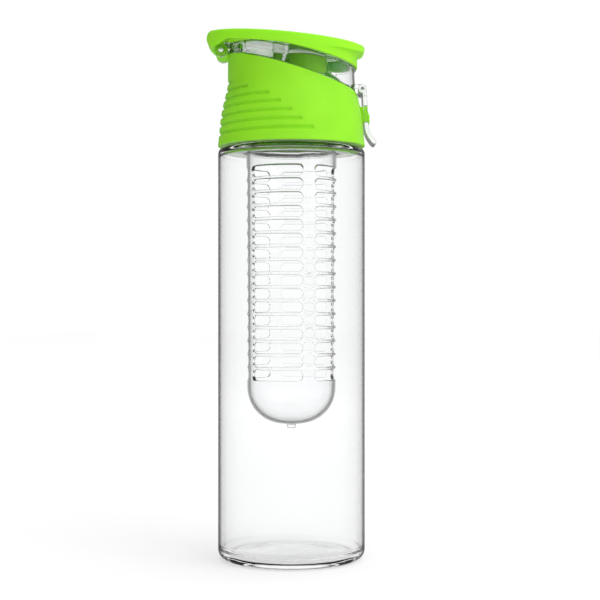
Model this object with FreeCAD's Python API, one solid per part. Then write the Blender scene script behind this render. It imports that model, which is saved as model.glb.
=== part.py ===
"""Fruit infuser water bottle: a clear bottle with a slotted fruit basket that hangs from a screw lid.

The lid has a threaded core, a sloping deck with a drinking spout, and a ribbed grip sleeve.
A clear flip-top dome with a soft cover closes it.
A steel pin hinges the dome at the back of the lid, and a clear latch hooks it to a catch at the front.

Frame: millimetres, +Z up, origin on the floor under the bottle's axis, the latch at +X and the hinge at -X.
"""

import FreeCAD
import Part

import math
import os

Vec = FreeCAD.Vector

# Bottle: outside radius, wall, and the height from the floor to the top of the shoulder
BODY_RADIUS = 36.0
BODY_WALL = 2.0
BODY_HEIGHT = 201.4
BASE_CORNER = 5.0
FLOOR_CORNER = 5.0
FLOOR_THICKNESS = 3.0
PUSH_UP = 2.4
BASE_FLAT = 4.0
FOOT_WIDTH = 4.5
SHOULDER_CORNER = 3.0
SHOULDER_THICKNESS = 2.4
SHOULDER_WIDTH = 9.2
NECK_WALL = 2.2
NECK_HEIGHT = 18.6
RIM_CHAMFER = 0.5

# Fruit basket: its gap inside the neck, and the length down to the underside of its round bottom
BASKET_TO_NECK_GAP = 2.3
BASKET_DRAFT = 0.6
BASKET_WALL = 1.6
BASKET_LENGTH = 154.9
BASKET_FLAT = 4.0
NUB_RADIUS = 2.2
NUB_HEIGHT = 2.3
SLOT_ROWS = 16
SLOT_COLUMNS = 4
SLOT_HEIGHT = 5.0
RIB_HEIGHT = 1.55
SLOT_START = 29.9
POST_WIDTH = 6.4
POST_TURN_DEG = 23.4

# Screw thread between the neck and the lid
THREAD_LEAD = 6.0
THREAD_HEIGHT = 1.4
THREAD_ROOT = 2.2
THREAD_CREST = 1.2
THREAD_RADIAL_GAP = 0.4
THREAD_FLANK_GAP = 0.3
THREAD_SINK = 0.3
NECK_THREAD_RISE = 4.6
NECK_THREAD_TURNS = 1.4
LID_THREAD_LAG_DEG = 60.0
LID_THREAD_TURNS = 1.2

# Lid core and deck: threaded skirt, basket socket, and the sloping deck with its spout and vent
LID_GAP = 0.6
CORE_WALL = 1.8
CORE_LIFT = 0.4
GASKET_THICKNESS = 1.5
GASKET_EDGE_GAP = 0.3
BULKHEAD_THICKNESS = 1.8
SOCKET_GAP = 0.2
SOCKET_WALL = 2.6
SOCKET_DEPTH = 11.5
BASKET_TOP_GAP = 0.3
RING_SECTION = 1.6
RING_STAND = 0.1
RING_GROOVE_GAP = 0.1
RIM_RISE = 36.3
RIM_TILT_DEG = 16.7
DECK_DROP = 1.2
DECK_THICKNESS = 2.0
DECK_LIP = 0.9
DECK_EDGE_GAP = 0.1
SPOUT_OFFSET = 7.7
SPOUT_RADIUS = 10.3
SPOUT_WALL = 3.3
VENT_SPACING = 3.8
VENT_RADIUS = 2.4
VENT_BORE = 1.0

# Grip sleeve: flared skin over the core, with grip grooves round its back
SLEEVE_SKIN = 0.8
SLEEVE_FOOT_STAND = 0.1
BELLY_RISE = 16.5
BELLY_DROP = 1.8
FLANK_RISE = 24.8
FLANK_STAND = 1.25
WAIST_RISE = 32.0
GROOVE_RADIUS = 0.95
GROOVE_DEPTH = 0.65
GROOVE_START = 5.8
GROOVE_PITCH = 4.2
GROOVE_HALF_ANGLES_DEG = (106.0, 97.0, 89.0, 80.0, 70.0, 48.0, 22.0)

# Flip-top: clear dome, hinge, and the soft cover on its roof
DOME_WALL = 1.8
DOME_INSET = 0.3
DOME_TAPER_DEG = 2.6
DOME_GAP = 0.3
ROOF_OVER_RIM = 13.3
ROOF_TILT_DEG = 5.7
SEAL_GAP = 0.2
SEAL_THICKNESS = 2.1
SEAL_MARGIN = 0.7
PLUG_LENGTH = 3.0
PLUG_GAP = 0.4
PLUG_TAPER = 0.5
VENT_SEAL_MARGIN = 0.6
VENT_TIP_LENGTH = 1.2
VENT_TIP_GAP = 0.2
HINGE_STAND = 2.9
HINGE_LIFT = 0.3
KNUCKLE_RADIUS = 3.3
KNUCKLE_GAP = 0.4
LUG_HALF_WIDTH = 7.1
EAR_WIDTH = 3.6
EAR_ROOT = 6.4
EAR_ROOT_RISE = 0.5
LUG_ROOT_DROP = 1.6
HINGE_PIN_RADIUS = 1.2
PIN_CLEARANCE = 0.05
PIN_COVER = 0.8
BOSS_RADIUS = 2.2
BOSS_STAND = 0.9
BOSS_INSET = 7.0
BOSS_RISE = 2.7
LEDGE_STAND = 0.8
LEDGE_HEIGHT = 1.0
LEDGE_GAP = 0.1
COVER_SKIRT = 1.4
COVER_EDGE_DROP = 3.8
COVER_EDGE_TILT_DEG = 12.4
COVER_OVER_ROOF = 4.3
BRIM_OVERHANG = 4.5
LIP_OVER_ROOF = 3.0
LIP_UNDER_ROOF = 0.4
LIP_TIP_DROP = 1.2
LIP_LENGTH = 2.2
LIP_FLARE = 2.6
NOSE_TOP_RISE = 9.05
NOSE_TIP_RISE = 6.2
NOSE_UNDER_RISE = 1.2
NOSE_BACK = 4.0
NOSE_CHIN = 7.2
CHIN_DROP = 1.2
CROWN_RADIUS = 220.0
CROWN_HALF_DEG = 12.0
OVAL_MARGIN = 0.6

# Front latch: clear plate with a window that hooks under the catch
LATCH_STAND = 3.2
LATCH_PIVOT_RISE = 1.0
LATCH_THICKNESS = 2.0
LATCH_HALF_WIDTH = 8.5
LATCH_DROP = 16.3
LATCH_GAP = 0.4
LATCH_SIDE_GAP = 0.4
TAIL_RADIUS = 12.0
TAIL_BEND_DEG = 46.0
WINDOW_HALF_WIDTH = 4.8
WINDOW_HEIGHT = 9.0
LATCH_PIN_RADIUS = 0.8
LATCH_EAR_WIDTH = 2.2
CATCH_SIDE_GAP = 0.5
CATCH_UNDER_GAP = 0.5
CATCH_HEIGHT = 7.8
CATCH_NOSE = 3.2
CATCH_STAND = 0.8
SLEEVE_WINDOW_GAP = 0.2

# Sizes and places that follow from the ones above
REACH_OUT = 2.0 * (BODY_RADIUS + BODY_HEIGHT)
RIM_SLOPE = math.tan(math.radians(RIM_TILT_DEG))
ROOF_SLOPE = math.tan(math.radians(ROOF_TILT_DEG))

NECK_RADIUS = BODY_RADIUS - SHOULDER_WIDTH
NECK_BORE = NECK_RADIUS - NECK_WALL
BASKET_RADIUS = NECK_BORE - BASKET_TO_NECK_GAP
BASKET_CORNER = BASKET_RADIUS - BASKET_DRAFT - BASKET_FLAT
NECK_RIM_Z = BODY_HEIGHT + NECK_HEIGHT
CORE_BORE = NECK_RADIUS + THREAD_HEIGHT + THREAD_RADIAL_GAP
CORE_RADIUS = CORE_BORE + CORE_WALL
DECK_SEAT_RADIUS = CORE_RADIUS - DECK_LIP
BULKHEAD_Z = NECK_RIM_Z + GASKET_THICKNESS
BASKET_TOP_Z = BULKHEAD_Z - BASKET_TOP_GAP
SOCKET_RADIUS = BASKET_RADIUS - BASKET_WALL - SOCKET_GAP
SOCKET_BORE = SOCKET_RADIUS - SOCKET_WALL
SLEEVE_FOOT_Z = BODY_HEIGHT + LID_GAP
WAIST_RADIUS = CORE_RADIUS + SLEEVE_SKIN
RIM_Z = BODY_HEIGHT + RIM_RISE
ROOF_Z = RIM_Z + ROOF_OVER_RIM
LID_RISE = ROOF_Z - BODY_HEIGHT
DOME_RADIUS = WAIST_RADIUS - DOME_INSET
DOME_TAPER = math.tan(math.radians(DOME_TAPER_DEG))
BRIM_REACH = WAIST_RADIUS + BRIM_OVERHANG
BOSS_X = BOSS_INSET - DOME_RADIUS
VENT_X = SPOUT_OFFSET - SPOUT_RADIUS - VENT_SPACING


def rim_z(x):
    """Height of the lid's sloping rim at a distance x from the axis."""
    return RIM_Z - RIM_SLOPE * x


def roof_z(x):
    """Height of the top of the dome's roof at a distance x from the axis."""
    return ROOF_Z - ROOF_SLOPE * x


def dome_radius(z):
    """Outside radius of the tapered dome at height z."""
    return DOME_RADIUS - DOME_TAPER * (z - RIM_Z)


HINGE_X = -(WAIST_RADIUS + HINGE_STAND)
HINGE_Z = rim_z(HINGE_X) + HINGE_LIFT
LATCH_X = dome_radius(rim_z(WAIST_RADIUS)) + LATCH_STAND
LATCH_Z = rim_z(WAIST_RADIUS) + LATCH_PIVOT_RISE
KNEE_Z = LATCH_Z - LATCH_DROP


# Shape helpers
def turned(points_and_arcs):
    """Solid of revolution about Z from a closed list of edges in the XZ plane."""
    face = Part.Face(Part.Wire(points_and_arcs))
    return face.revolve(Vec(0, 0, 0), Vec(0, 0, 1), 360)


def line(start, end):
    """Edge between two (x, z) points of the XZ plane."""
    return Part.LineSegment(Vec(start[0], 0, start[1]), Vec(end[0], 0, end[1])).toShape()


def arc(start, middle, end):
    """Circular edge through three (x, z) points of the XZ plane."""
    points = [Vec(p[0], 0, p[1]) for p in (start, middle, end)]
    return Part.Arc(*points).toShape()


def corner(centre, radius, from_deg, to_deg):
    """Circular edge about an (x, z) centre between two angles measured from +X towards +Z."""
    angles = (from_deg, 0.5 * (from_deg + to_deg), to_deg)
    points = [
        (centre[0] + radius * math.cos(math.radians(a)), centre[1] + radius * math.sin(math.radians(a)))
        for a in angles
    ]
    return arc(*points)


def raised_arc(rim_radius, rim_height):
    """Edge from the flat in the middle of the raised base, level at first, down to a rim."""
    span = rim_radius - BASE_FLAT
    radius = (span**2 + PUSH_UP**2) / (2 * PUSH_UP)
    turn_deg = math.degrees(math.asin(span / radius))
    return corner((BASE_FLAT, rim_height + PUSH_UP - radius), radius, 90, 90 - turn_deg)


def tube(outer, inner, bottom, top):
    """Straight ring between two heights."""
    solid = Part.makeCylinder(outer, top - bottom, Vec(0, 0, bottom))
    return solid.cut(Part.makeCylinder(inner, top - bottom, Vec(0, 0, bottom)))


def bar(x0, x1, z0, z1, half_width):
    """Box between two x and two z values, centred on the XZ plane."""
    return Part.makeBox(x1 - x0, 2 * half_width, z1 - z0, Vec(x0, -half_width, z0))


def rod(x, z, radius, y0, y1):
    """Cylinder along Y at (x, z) between two y values."""
    return Part.makeCylinder(radius, y1 - y0, Vec(x, y0, z), Vec(0, 1, 0))


def plate(edges, half_width):
    """Closed outline in the XZ plane, made into a plate centred on that plane."""
    face = Part.Face(Part.Wire(edges))
    solid = face.extrude(Vec(0, 2 * half_width, 0))
    solid.translate(Vec(0, -half_width, 0))
    return solid


def above(z_at_axis, tilt_deg):
    """Everything over a plane that falls towards +X by a tilt."""
    half = REACH_OUT / 2
    block = Part.makeBox(REACH_OUT, REACH_OUT, REACH_OUT, Vec(-half, -half, 0))
    block.rotate(Vec(0, 0, 0), Vec(0, 1, 0), tilt_deg)
    block.translate(Vec(0, 0, z_at_axis))
    return block


def mirrored_pair(shape):
    """The shape and its mirror image across the XZ plane."""
    return [shape, shape.mirror(Vec(0, 0, 0), Vec(0, 1, 0))]


def on_roof(shape, x):
    """Moves a shape built about Z at the origin to the underside of the roof, square to it."""
    shape.rotate(Vec(0, 0, 0), Vec(0, 1, 0), ROOF_TILT_DEG)
    shape.translate(Vec(x, 0, roof_z(x) - DOME_WALL / math.cos(math.radians(ROOF_TILT_DEG))))
    return shape


def one_solid(shape):
    """The single solid of a result, with seams between equal faces taken out."""
    clean = shape.removeSplitter()
    if len(clean.Solids) != 1:
        raise ValueError("expected one solid, got %d" % len(clean.Solids))
    return clean.Solids[0]


# Screw thread
def thread_ridge(wall_radius, outward, start_z, start_deg, turns):
    """Helical ridge on a round wall, standing outward (+1) or inward (-1), sunk a little into the wall."""
    sunk = wall_radius - outward * THREAD_SINK
    crest = wall_radius + outward * THREAD_HEIGHT
    outline = [
        Vec(sunk, 0, -THREAD_ROOT / 2),
        Vec(crest, 0, -THREAD_CREST / 2),
        Vec(crest, 0, THREAD_CREST / 2),
        Vec(sunk, 0, THREAD_ROOT / 2),
    ]
    profile = Part.makePolygon(outline + outline[:1])
    helix = Part.Wire(Part.makeHelix(THREAD_LEAD, THREAD_LEAD * turns, wall_radius))
    ridge = helix.makePipeShell([profile], True, True)
    ridge.rotate(Vec(0, 0, 0), Vec(0, 0, 1), start_deg)
    ridge.translate(Vec(0, 0, start_z))
    return ridge


# Bottle and basket
def bottle_body():
    """Clear bottle with a raised base, a flat shoulder and a threaded neck."""
    inner = BODY_RADIUS - BODY_WALL
    foot_out = BODY_RADIUS - BASE_CORNER
    foot_in = foot_out - FOOT_WIDTH
    wall_top = BODY_HEIGHT - SHOULDER_CORNER
    ceiling = BODY_HEIGHT - SHOULDER_THICKNESS
    floor_edge = inner - FLOOR_CORNER
    floor_z = FLOOR_THICKNESS
    shell = turned([
        line((0, PUSH_UP), (BASE_FLAT, PUSH_UP)),
        raised_arc(foot_in, 0),
        line((foot_in, 0), (foot_out, 0)),
        corner((foot_out, BASE_CORNER), BASE_CORNER, -90, 0),
        line((BODY_RADIUS, BASE_CORNER), (BODY_RADIUS, wall_top)),
        corner((BODY_RADIUS - SHOULDER_CORNER, wall_top), SHOULDER_CORNER, 0, 90),
        line((BODY_RADIUS - SHOULDER_CORNER, BODY_HEIGHT), (NECK_RADIUS, BODY_HEIGHT)),
        line((NECK_RADIUS, BODY_HEIGHT), (NECK_RADIUS, NECK_RIM_Z - RIM_CHAMFER)),
        line((NECK_RADIUS, NECK_RIM_Z - RIM_CHAMFER), (NECK_RADIUS - RIM_CHAMFER, NECK_RIM_Z)),
        line((NECK_RADIUS - RIM_CHAMFER, NECK_RIM_Z), (NECK_BORE + RIM_CHAMFER, NECK_RIM_Z)),
        line((NECK_BORE + RIM_CHAMFER, NECK_RIM_Z), (NECK_BORE, NECK_RIM_Z - RIM_CHAMFER)),
        line((NECK_BORE, NECK_RIM_Z - RIM_CHAMFER), (NECK_BORE, ceiling)),
        line((NECK_BORE, ceiling), (inner - SHOULDER_CORNER, ceiling)),
        corner((inner - SHOULDER_CORNER, ceiling - SHOULDER_CORNER), SHOULDER_CORNER, 90, 0),
        line((inner, ceiling - SHOULDER_CORNER), (inner, floor_z + FLOOR_CORNER)),
        corner((floor_edge, floor_z + FLOOR_CORNER), FLOOR_CORNER, 0, -90),
        raised_arc(floor_edge, floor_z),
        line((BASE_FLAT, floor_z + PUSH_UP), (0, floor_z + PUSH_UP)),
        line((0, floor_z + PUSH_UP), (0, PUSH_UP)),
    ])
    start_z = BODY_HEIGHT + NECK_THREAD_RISE
    return one_solid(shell.fuse(thread_ridge(NECK_RADIUS, 1, start_z, 0, NECK_THREAD_TURNS)))


def basket_slot(radius):
    """One slot's cutter about the axis at z = 0: a bent bar with round ends, between two posts."""
    half_height = SLOT_HEIGHT / 2
    post_deg = math.degrees(POST_WIDTH / radius)
    end_deg = math.degrees(half_height / radius)
    sweep = 360 / SLOT_COLUMNS - post_deg - 2 * end_deg
    inside = radius - 2 * BASKET_WALL - BASKET_DRAFT
    outside = radius + BASKET_WALL
    ring = turned_part(inside, outside, half_height, sweep)
    for angle in (0, sweep):
        end = Part.makeCylinder(half_height, outside - inside, Vec(inside, 0, 0), Vec(1, 0, 0))
        end.rotate(Vec(0, 0, 0), Vec(0, 0, 1), angle)
        ring = ring.fuse(end)
    ring.rotate(Vec(0, 0, 0), Vec(0, 0, 1), post_deg / 2 + end_deg)
    return ring


def turned_part(inside, outside, half_height, sweep):
    """Part of a square ring about Z, from angle 0 to a sweep in degrees."""
    corners = [(inside, -half_height), (outside, -half_height), (outside, half_height), (inside, half_height)]
    edges = [line(corners[i], corners[(i + 1) % 4]) for i in range(4)]
    return Part.Face(Part.Wire(edges)).revolve(Vec(0, 0, 0), Vec(0, 0, 1), sweep)


def infuser_basket():
    """Clear fruit basket: a slightly tapered tube with rows of slots and a round bottom with a nub."""
    bottom_z = BASKET_TOP_Z - BASKET_LENGTH
    low_radius = BASKET_RADIUS - BASKET_DRAFT
    bend_z = bottom_z + BASKET_CORNER
    inner_corner = BASKET_CORNER - BASKET_WALL
    flat = BASKET_FLAT
    shell = turned([
        line((0, bottom_z), (flat, bottom_z)),
        corner((flat, bend_z), BASKET_CORNER, -90, 0),
        line((low_radius, bend_z), (BASKET_RADIUS, BASKET_TOP_Z)),
        line((BASKET_RADIUS, BASKET_TOP_Z), (BASKET_RADIUS - BASKET_WALL, BASKET_TOP_Z)),
        line((BASKET_RADIUS - BASKET_WALL, BASKET_TOP_Z), (low_radius - BASKET_WALL, bend_z)),
        corner((flat, bend_z), inner_corner, 0, -90),
        line((flat, bend_z - inner_corner), (0, bend_z - inner_corner)),
        line((0, bend_z - inner_corner), (0, bottom_z)),
    ])
    nub = Part.makeCylinder(NUB_RADIUS, NUB_HEIGHT + BASKET_WALL / 2, Vec(0, 0, bottom_z - NUB_HEIGHT))
    shell = shell.fuse(nub)
    cutter = basket_slot(BASKET_RADIUS)
    cutters = []
    for row in range(SLOT_ROWS):
        slot_z = BASKET_TOP_Z - SLOT_START - SLOT_HEIGHT / 2 - row * (SLOT_HEIGHT + RIB_HEIGHT)
        for column in range(SLOT_COLUMNS):
            one = cutter.copy()
            one.rotate(Vec(0, 0, 0), Vec(0, 0, 1), POST_TURN_DEG - 90 + column * 360 / SLOT_COLUMNS)
            one.translate(Vec(0, 0, slot_z))
            cutters.append(one)
    return one_solid(shell.cut(Part.makeCompound(cutters)))


def basket_ring_radius():
    """Centre radius of the ring's round section, which stands a little proud of the socket."""
    return SOCKET_RADIUS + RING_STAND - RING_SECTION / 2


def ring_groove_z():
    """Height of the middle of the ring's groove, halfway down the socket."""
    return BULKHEAD_Z - SOCKET_DEPTH / 2


def basket_o_ring():
    """Soft ring in the socket's groove that grips the basket's collar."""
    return Part.makeTorus(basket_ring_radius(), RING_SECTION / 2, Vec(0, 0, ring_groove_z()))


# Lid
def lid_gasket():
    """Flat ring between the bottle's rim and the lid's bulkhead."""
    return tube(CORE_BORE - GASKET_EDGE_GAP, NECK_BORE, NECK_RIM_Z, BULKHEAD_Z)


def spout_top_drop():
    """Depth of the spout's lip below the underside of the roof."""
    return SEAL_THICKNESS + SEAL_GAP


def chimney(x, radius):
    """Round post square to the roof, from the spout's lip level down past the deck."""
    post = Part.makeCylinder(radius, LID_RISE, Vec(0, 0, -spout_top_drop() - LID_RISE))
    return on_roof(post, x)


def sleeve_window_part(gap):
    """The catch's footprint through the sleeve, grown by a gap."""
    half = WINDOW_HALF_WIDTH - CATCH_SIDE_GAP + gap
    bottom = KNEE_Z + CATCH_UNDER_GAP
    return bar(CORE_BORE, REACH_OUT / 4, bottom - gap, bottom + CATCH_HEIGHT + gap, half)


def catch():
    """Hook for the latch: a block with a sloped upper corner, through the sleeve and the latch's window."""
    bottom = KNEE_Z + CATCH_UNDER_GAP
    top = bottom + CATCH_HEIGHT
    shoulder = knee_x() + LATCH_THICKNESS / 2
    tip = knee_x() + LATCH_THICKNESS + CATCH_STAND
    root = CORE_BORE + CORE_WALL / 2
    edges = [
        line((root, bottom), (tip, bottom)),
        line((tip, bottom), (tip, bottom + CATCH_NOSE)),
        line((tip, bottom + CATCH_NOSE), (shoulder, top)),
        line((shoulder, top), (root, top)),
        line((root, top), (root, bottom)),
    ]
    return plate(edges, WINDOW_HALF_WIDTH - CATCH_SIDE_GAP)


def hinge_lug(radius, half_width, root_gap):
    """The lid's middle hinge knuckle and its root, grown by gaps where it is used as a cutter."""
    knuckle = rod(HINGE_X, HINGE_Z, radius, -half_width, half_width)
    root_top = HINGE_Z - LUG_ROOT_DROP + root_gap
    root = bar(HINGE_X, -CORE_BORE, HINGE_Z - radius, root_top, half_width)
    return knuckle.fuse(root)


def over_deck_seat(radius):
    """Round space inside the lid's rim, over the sloping seat of the deck."""
    space = Part.makeCylinder(radius, REACH_OUT / 4, Vec(0, 0, BULKHEAD_Z + BULKHEAD_THICKNESS))
    return space.common(above(RIM_Z - DECK_DROP - DECK_THICKNESS, RIM_TILT_DEG))


def ring_groove():
    """Cutter for the groove round the socket that holds the basket's ring."""
    inner = basket_ring_radius() - RING_SECTION / 2 - RING_GROOVE_GAP
    half = RING_SECTION / 2 + RING_GROOVE_GAP
    return tube(SOCKET_RADIUS + RING_SECTION, inner, ring_groove_z() - half, ring_groove_z() + half)


def lid_thread():
    """Ridge inside the skirt that runs under the neck's ridge."""
    lag_z = THREAD_LEAD * LID_THREAD_LAG_DEG / 360
    drop = (THREAD_ROOT + THREAD_CREST) / 2 + THREAD_FLANK_GAP
    start_z = BODY_HEIGHT + NECK_THREAD_RISE + lag_z - drop
    return thread_ridge(CORE_BORE, -1, start_z, LID_THREAD_LAG_DEG, LID_THREAD_TURNS)


def lid_core():
    """Threaded core of the lid with its bulkhead, basket socket, hinge lug, catch and deck seat."""
    bulkhead_top = BULKHEAD_Z + BULKHEAD_THICKNESS
    skirt = tube(CORE_RADIUS, CORE_BORE, SLEEVE_FOOT_Z + CORE_LIFT, rim_z(-CORE_RADIUS))
    skirt = skirt.cut(above(RIM_Z, RIM_TILT_DEG))
    bulkhead = tube(CORE_BORE + CORE_WALL / 2, SOCKET_BORE, BULKHEAD_Z, bulkhead_top)
    socket = tube(SOCKET_RADIUS, SOCKET_BORE, BULKHEAD_Z - SOCKET_DEPTH, BULKHEAD_Z + BULKHEAD_THICKNESS / 2)
    lug = hinge_lug(KNUCKLE_RADIUS, LUG_HALF_WIDTH, 0)
    core = skirt.fuse([bulkhead, socket, catch(), lug]).fuse(lid_thread())
    pin_bore = rod(HINGE_X, HINGE_Z, HINGE_PIN_RADIUS + PIN_CLEARANCE, -LUG_HALF_WIDTH, LUG_HALF_WIDTH)
    return one_solid(core.cut([over_deck_seat(DECK_SEAT_RADIUS), ring_groove(), pin_bore]))


def spout_deck():
    """Sloping deck, seated inside the lid's rim, with the drinking spout and the air vent."""
    deck = over_deck_seat(DECK_SEAT_RADIUS - DECK_EDGE_GAP).cut(above(RIM_Z - DECK_DROP, RIM_TILT_DEG))
    over_seat = over_deck_seat(DECK_SEAT_RADIUS)
    posts = [chimney(SPOUT_OFFSET, SPOUT_RADIUS), chimney(VENT_X, VENT_RADIUS)]
    posts = [post.common(over_seat) for post in posts]
    bores = [chimney(SPOUT_OFFSET, SPOUT_RADIUS - SPOUT_WALL), chimney(VENT_X, VENT_BORE)]
    return one_solid(deck.fuse(posts).cut(bores))


def sleeve_curve():
    """Outline of the flared sleeve from its foot up to the straight waist, smooth, in the XZ plane."""
    foot = BODY_RADIUS + SLEEVE_FOOT_STAND
    points = [
        Vec(foot, 0, SLEEVE_FOOT_Z),
        Vec(foot - BELLY_DROP, 0, SLEEVE_FOOT_Z + BELLY_RISE),
        Vec(WAIST_RADIUS + FLANK_STAND, 0, SLEEVE_FOOT_Z + FLANK_RISE),
        Vec(WAIST_RADIUS, 0, SLEEVE_FOOT_Z + WAIST_RISE),
    ]
    curve = Part.BSplineCurve()
    curve.interpolate(Points=points, InitialTangent=points[1] - points[0], FinalTangent=Vec(0, 0, WAIST_RISE))
    return curve


def sleeve_radius(z):
    """Outside radius of the sleeve at height z, found by halving along its curve."""
    if z >= SLEEVE_FOOT_Z + WAIST_RISE:
        return WAIST_RADIUS
    curve = sleeve_curve()
    low, high = curve.FirstParameter, curve.LastParameter
    for _ in range(40):
        middle = 0.5 * (low + high)
        if curve.value(middle).z < z:
            low = middle
        else:
            high = middle
    return curve.value(low).x


def grip_groove(z, half_deg):
    """Cutter for one round-bottomed grip groove about the back of the sleeve, with round ends."""
    radius = sleeve_radius(z) + GROOVE_RADIUS - GROOVE_DEPTH
    circle = Part.Wire(Part.makeCircle(GROOVE_RADIUS, Vec(radius, 0, z), Vec(0, 1, 0)))
    groove = Part.Face(circle).revolve(Vec(0, 0, 0), Vec(0, 0, 1), 2 * half_deg)
    groove.rotate(Vec(0, 0, 0), Vec(0, 0, 1), 180 - half_deg)
    ends = []
    for angle in (180 - half_deg, 180 + half_deg):
        turn = math.radians(angle)
        ends.append(Part.makeSphere(GROOVE_RADIUS, Vec(radius * math.cos(turn), radius * math.sin(turn), z)))
    return groove.fuse(ends)


def grip_sleeve():
    """Soft ribbed sleeve over the lid core, flared to meet the bottle's wall."""
    foot = BODY_RADIUS + SLEEVE_FOOT_STAND
    waist_z = SLEEVE_FOOT_Z + WAIST_RISE
    top_z = rim_z(-WAIST_RADIUS)
    skin = turned([
        line((CORE_RADIUS, SLEEVE_FOOT_Z), (foot, SLEEVE_FOOT_Z)),
        sleeve_curve().toShape(),
        line((WAIST_RADIUS, waist_z), (WAIST_RADIUS, top_z)),
        line((WAIST_RADIUS, top_z), (CORE_RADIUS, top_z)),
        line((CORE_RADIUS, top_z), (CORE_RADIUS, SLEEVE_FOOT_Z)),
    ])
    skin = skin.cut(above(RIM_Z, RIM_TILT_DEG))
    gap = SLEEVE_WINDOW_GAP
    cutters = [sleeve_window_part(gap), hinge_lug(KNUCKLE_RADIUS + gap, LUG_HALF_WIDTH + gap, KNUCKLE_RADIUS)]
    for row, half_deg in enumerate(GROOVE_HALF_ANGLES_DEG):
        cutters.append(grip_groove(SLEEVE_FOOT_Z + GROOVE_START + row * GROOVE_PITCH, half_deg))
    return one_solid(skin.cut(cutters))


# Flip-top
def dome_block(inset, roof_drop):
    """Solid under the roof, inside the dome's tapered wall: inset 0 and drop 0 give its outside."""
    low = BODY_HEIGHT
    high = ROOF_Z + LID_RISE
    cone = Part.makeCone(dome_radius(low) - inset, dome_radius(high) - inset, high - low, Vec(0, 0, low))
    return cone.cut(above(ROOF_Z - roof_drop, ROOF_TILT_DEG))


def hinge_ear(y0, y1):
    """One clear hinge ear: a round end on the pin and a bridge to the dome's back wall."""
    round_end = rod(HINGE_X, HINGE_Z, KNUCKLE_RADIUS, y0, y1)
    bridge = Part.makeBox(
        EAR_ROOT, y1 - y0, KNUCKLE_RADIUS - EAR_ROOT_RISE, Vec(HINGE_X, y0, HINGE_Z + EAR_ROOT_RISE)
    )
    return round_end.fuse(bridge)


def hinge_ears():
    """Both hinge ears, either side of the lid's lug."""
    inner = LUG_HALF_WIDTH + KNUCKLE_GAP
    return mirrored_pair(hinge_ear(inner, inner + EAR_WIDTH))


def latch_ears():
    """The two small ears on the dome's front that carry the latch's pin."""
    y0 = LATCH_HALF_WIDTH + LATCH_SIDE_GAP
    y1 = y0 + LATCH_EAR_WIDTH
    wall_x = math.sqrt(dome_radius(LATCH_Z) ** 2 - y1**2)
    bridge = Part.makeBox(
        LATCH_X - wall_x + DOME_WALL / 2, y1 - y0, LATCH_THICKNESS, Vec(wall_x - DOME_WALL / 2, y0, LATCH_Z)
    )
    bridge = bridge.common(above(RIM_Z + DOME_GAP, RIM_TILT_DEG))
    return mirrored_pair(bridge.fuse(rod(LATCH_X, LATCH_Z, LATCH_THICKNESS, y0, y1)))


def side_bosses():
    """Round bosses on the dome's sides, near the hinge."""
    z = rim_z(BOSS_X) + BOSS_RISE
    wall_y = math.sqrt(dome_radius(z) ** 2 - BOSS_X**2)
    return mirrored_pair(rod(BOSS_X, z, BOSS_RADIUS, wall_y - DOME_WALL, wall_y + BOSS_STAND))


def dome_ledge():
    """Low ledge round the dome, just under the cover's lower edge."""
    top_z = ROOF_Z - COVER_EDGE_DROP - LEDGE_GAP
    ring = Part.makeCylinder(DOME_RADIUS + LEDGE_STAND, 2 * LID_RISE, Vec(0, 0, BODY_HEIGHT))
    ring = ring.cut(above(top_z, COVER_EDGE_TILT_DEG))
    ring = ring.common(above(top_z - LEDGE_HEIGHT, COVER_EDGE_TILT_DEG))
    return ring.cut(dome_block(DOME_WALL / 2, 0))


def hinge_clearance():
    """Room for the lid's lug to turn inside the flip-top."""
    half = LUG_HALF_WIDTH + KNUCKLE_GAP
    return rod(HINGE_X, HINGE_Z, KNUCKLE_RADIUS + KNUCKLE_GAP, -half, half)


def hinge_pin_half_length():
    """Half the length of the hinge pin, which ends inside the ears."""
    return LUG_HALF_WIDTH + KNUCKLE_GAP + EAR_WIDTH - PIN_COVER


def flip_dome():
    """Clear cover over the spout, cut to the lid's slope, with hinge ears, latch ears and side bosses."""
    rim = above(RIM_Z + DOME_GAP, RIM_TILT_DEG)
    shell = dome_block(0, 0).cut(dome_block(DOME_WALL, DOME_WALL / math.cos(math.radians(ROOF_TILT_DEG))))
    shell = shell.common(rim).cut(hinge_clearance())
    shell = shell.fuse([dome_ledge(), *hinge_ears(), *latch_ears(), *side_bosses()])
    half = hinge_pin_half_length()
    bores = [
        rod(HINGE_X, HINGE_Z, HINGE_PIN_RADIUS, -half, half),
        rod(LATCH_X, LATCH_Z, LATCH_PIN_RADIUS, -half - LATCH_X, half + LATCH_X),
    ]
    return one_solid(shell.cut(bores))


def hinge_pin():
    """Steel hinge pin, pressed into the dome's ears."""
    half = hinge_pin_half_length()
    return rod(HINGE_X, HINGE_Z, HINGE_PIN_RADIUS, -half, half)


def nose_x():
    """How far the cover's nose reaches behind the axis: as far as the latch's tail reaches in front."""
    bend = math.radians(TAIL_BEND_DEG)
    middle = TAIL_RADIUS + LATCH_THICKNESS / 2
    tail_centre = knee_x() + LATCH_THICKNESS + TAIL_RADIUS
    return -(tail_centre - middle * math.cos(bend) + LATCH_THICKNESS / 2)


def nose_bend(tip, end):
    """Edge from the nose's tip, upright there, round to an end point in front of it."""
    run = end[0] - tip[0]
    rise = end[1] - tip[1]
    radius = (run**2 + rise**2) / (2 * run)
    end_deg = math.degrees(math.atan2(rise, run - radius)) % 360
    return corner((tip[0] + radius, tip[1]), radius, 180, end_deg)


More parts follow.
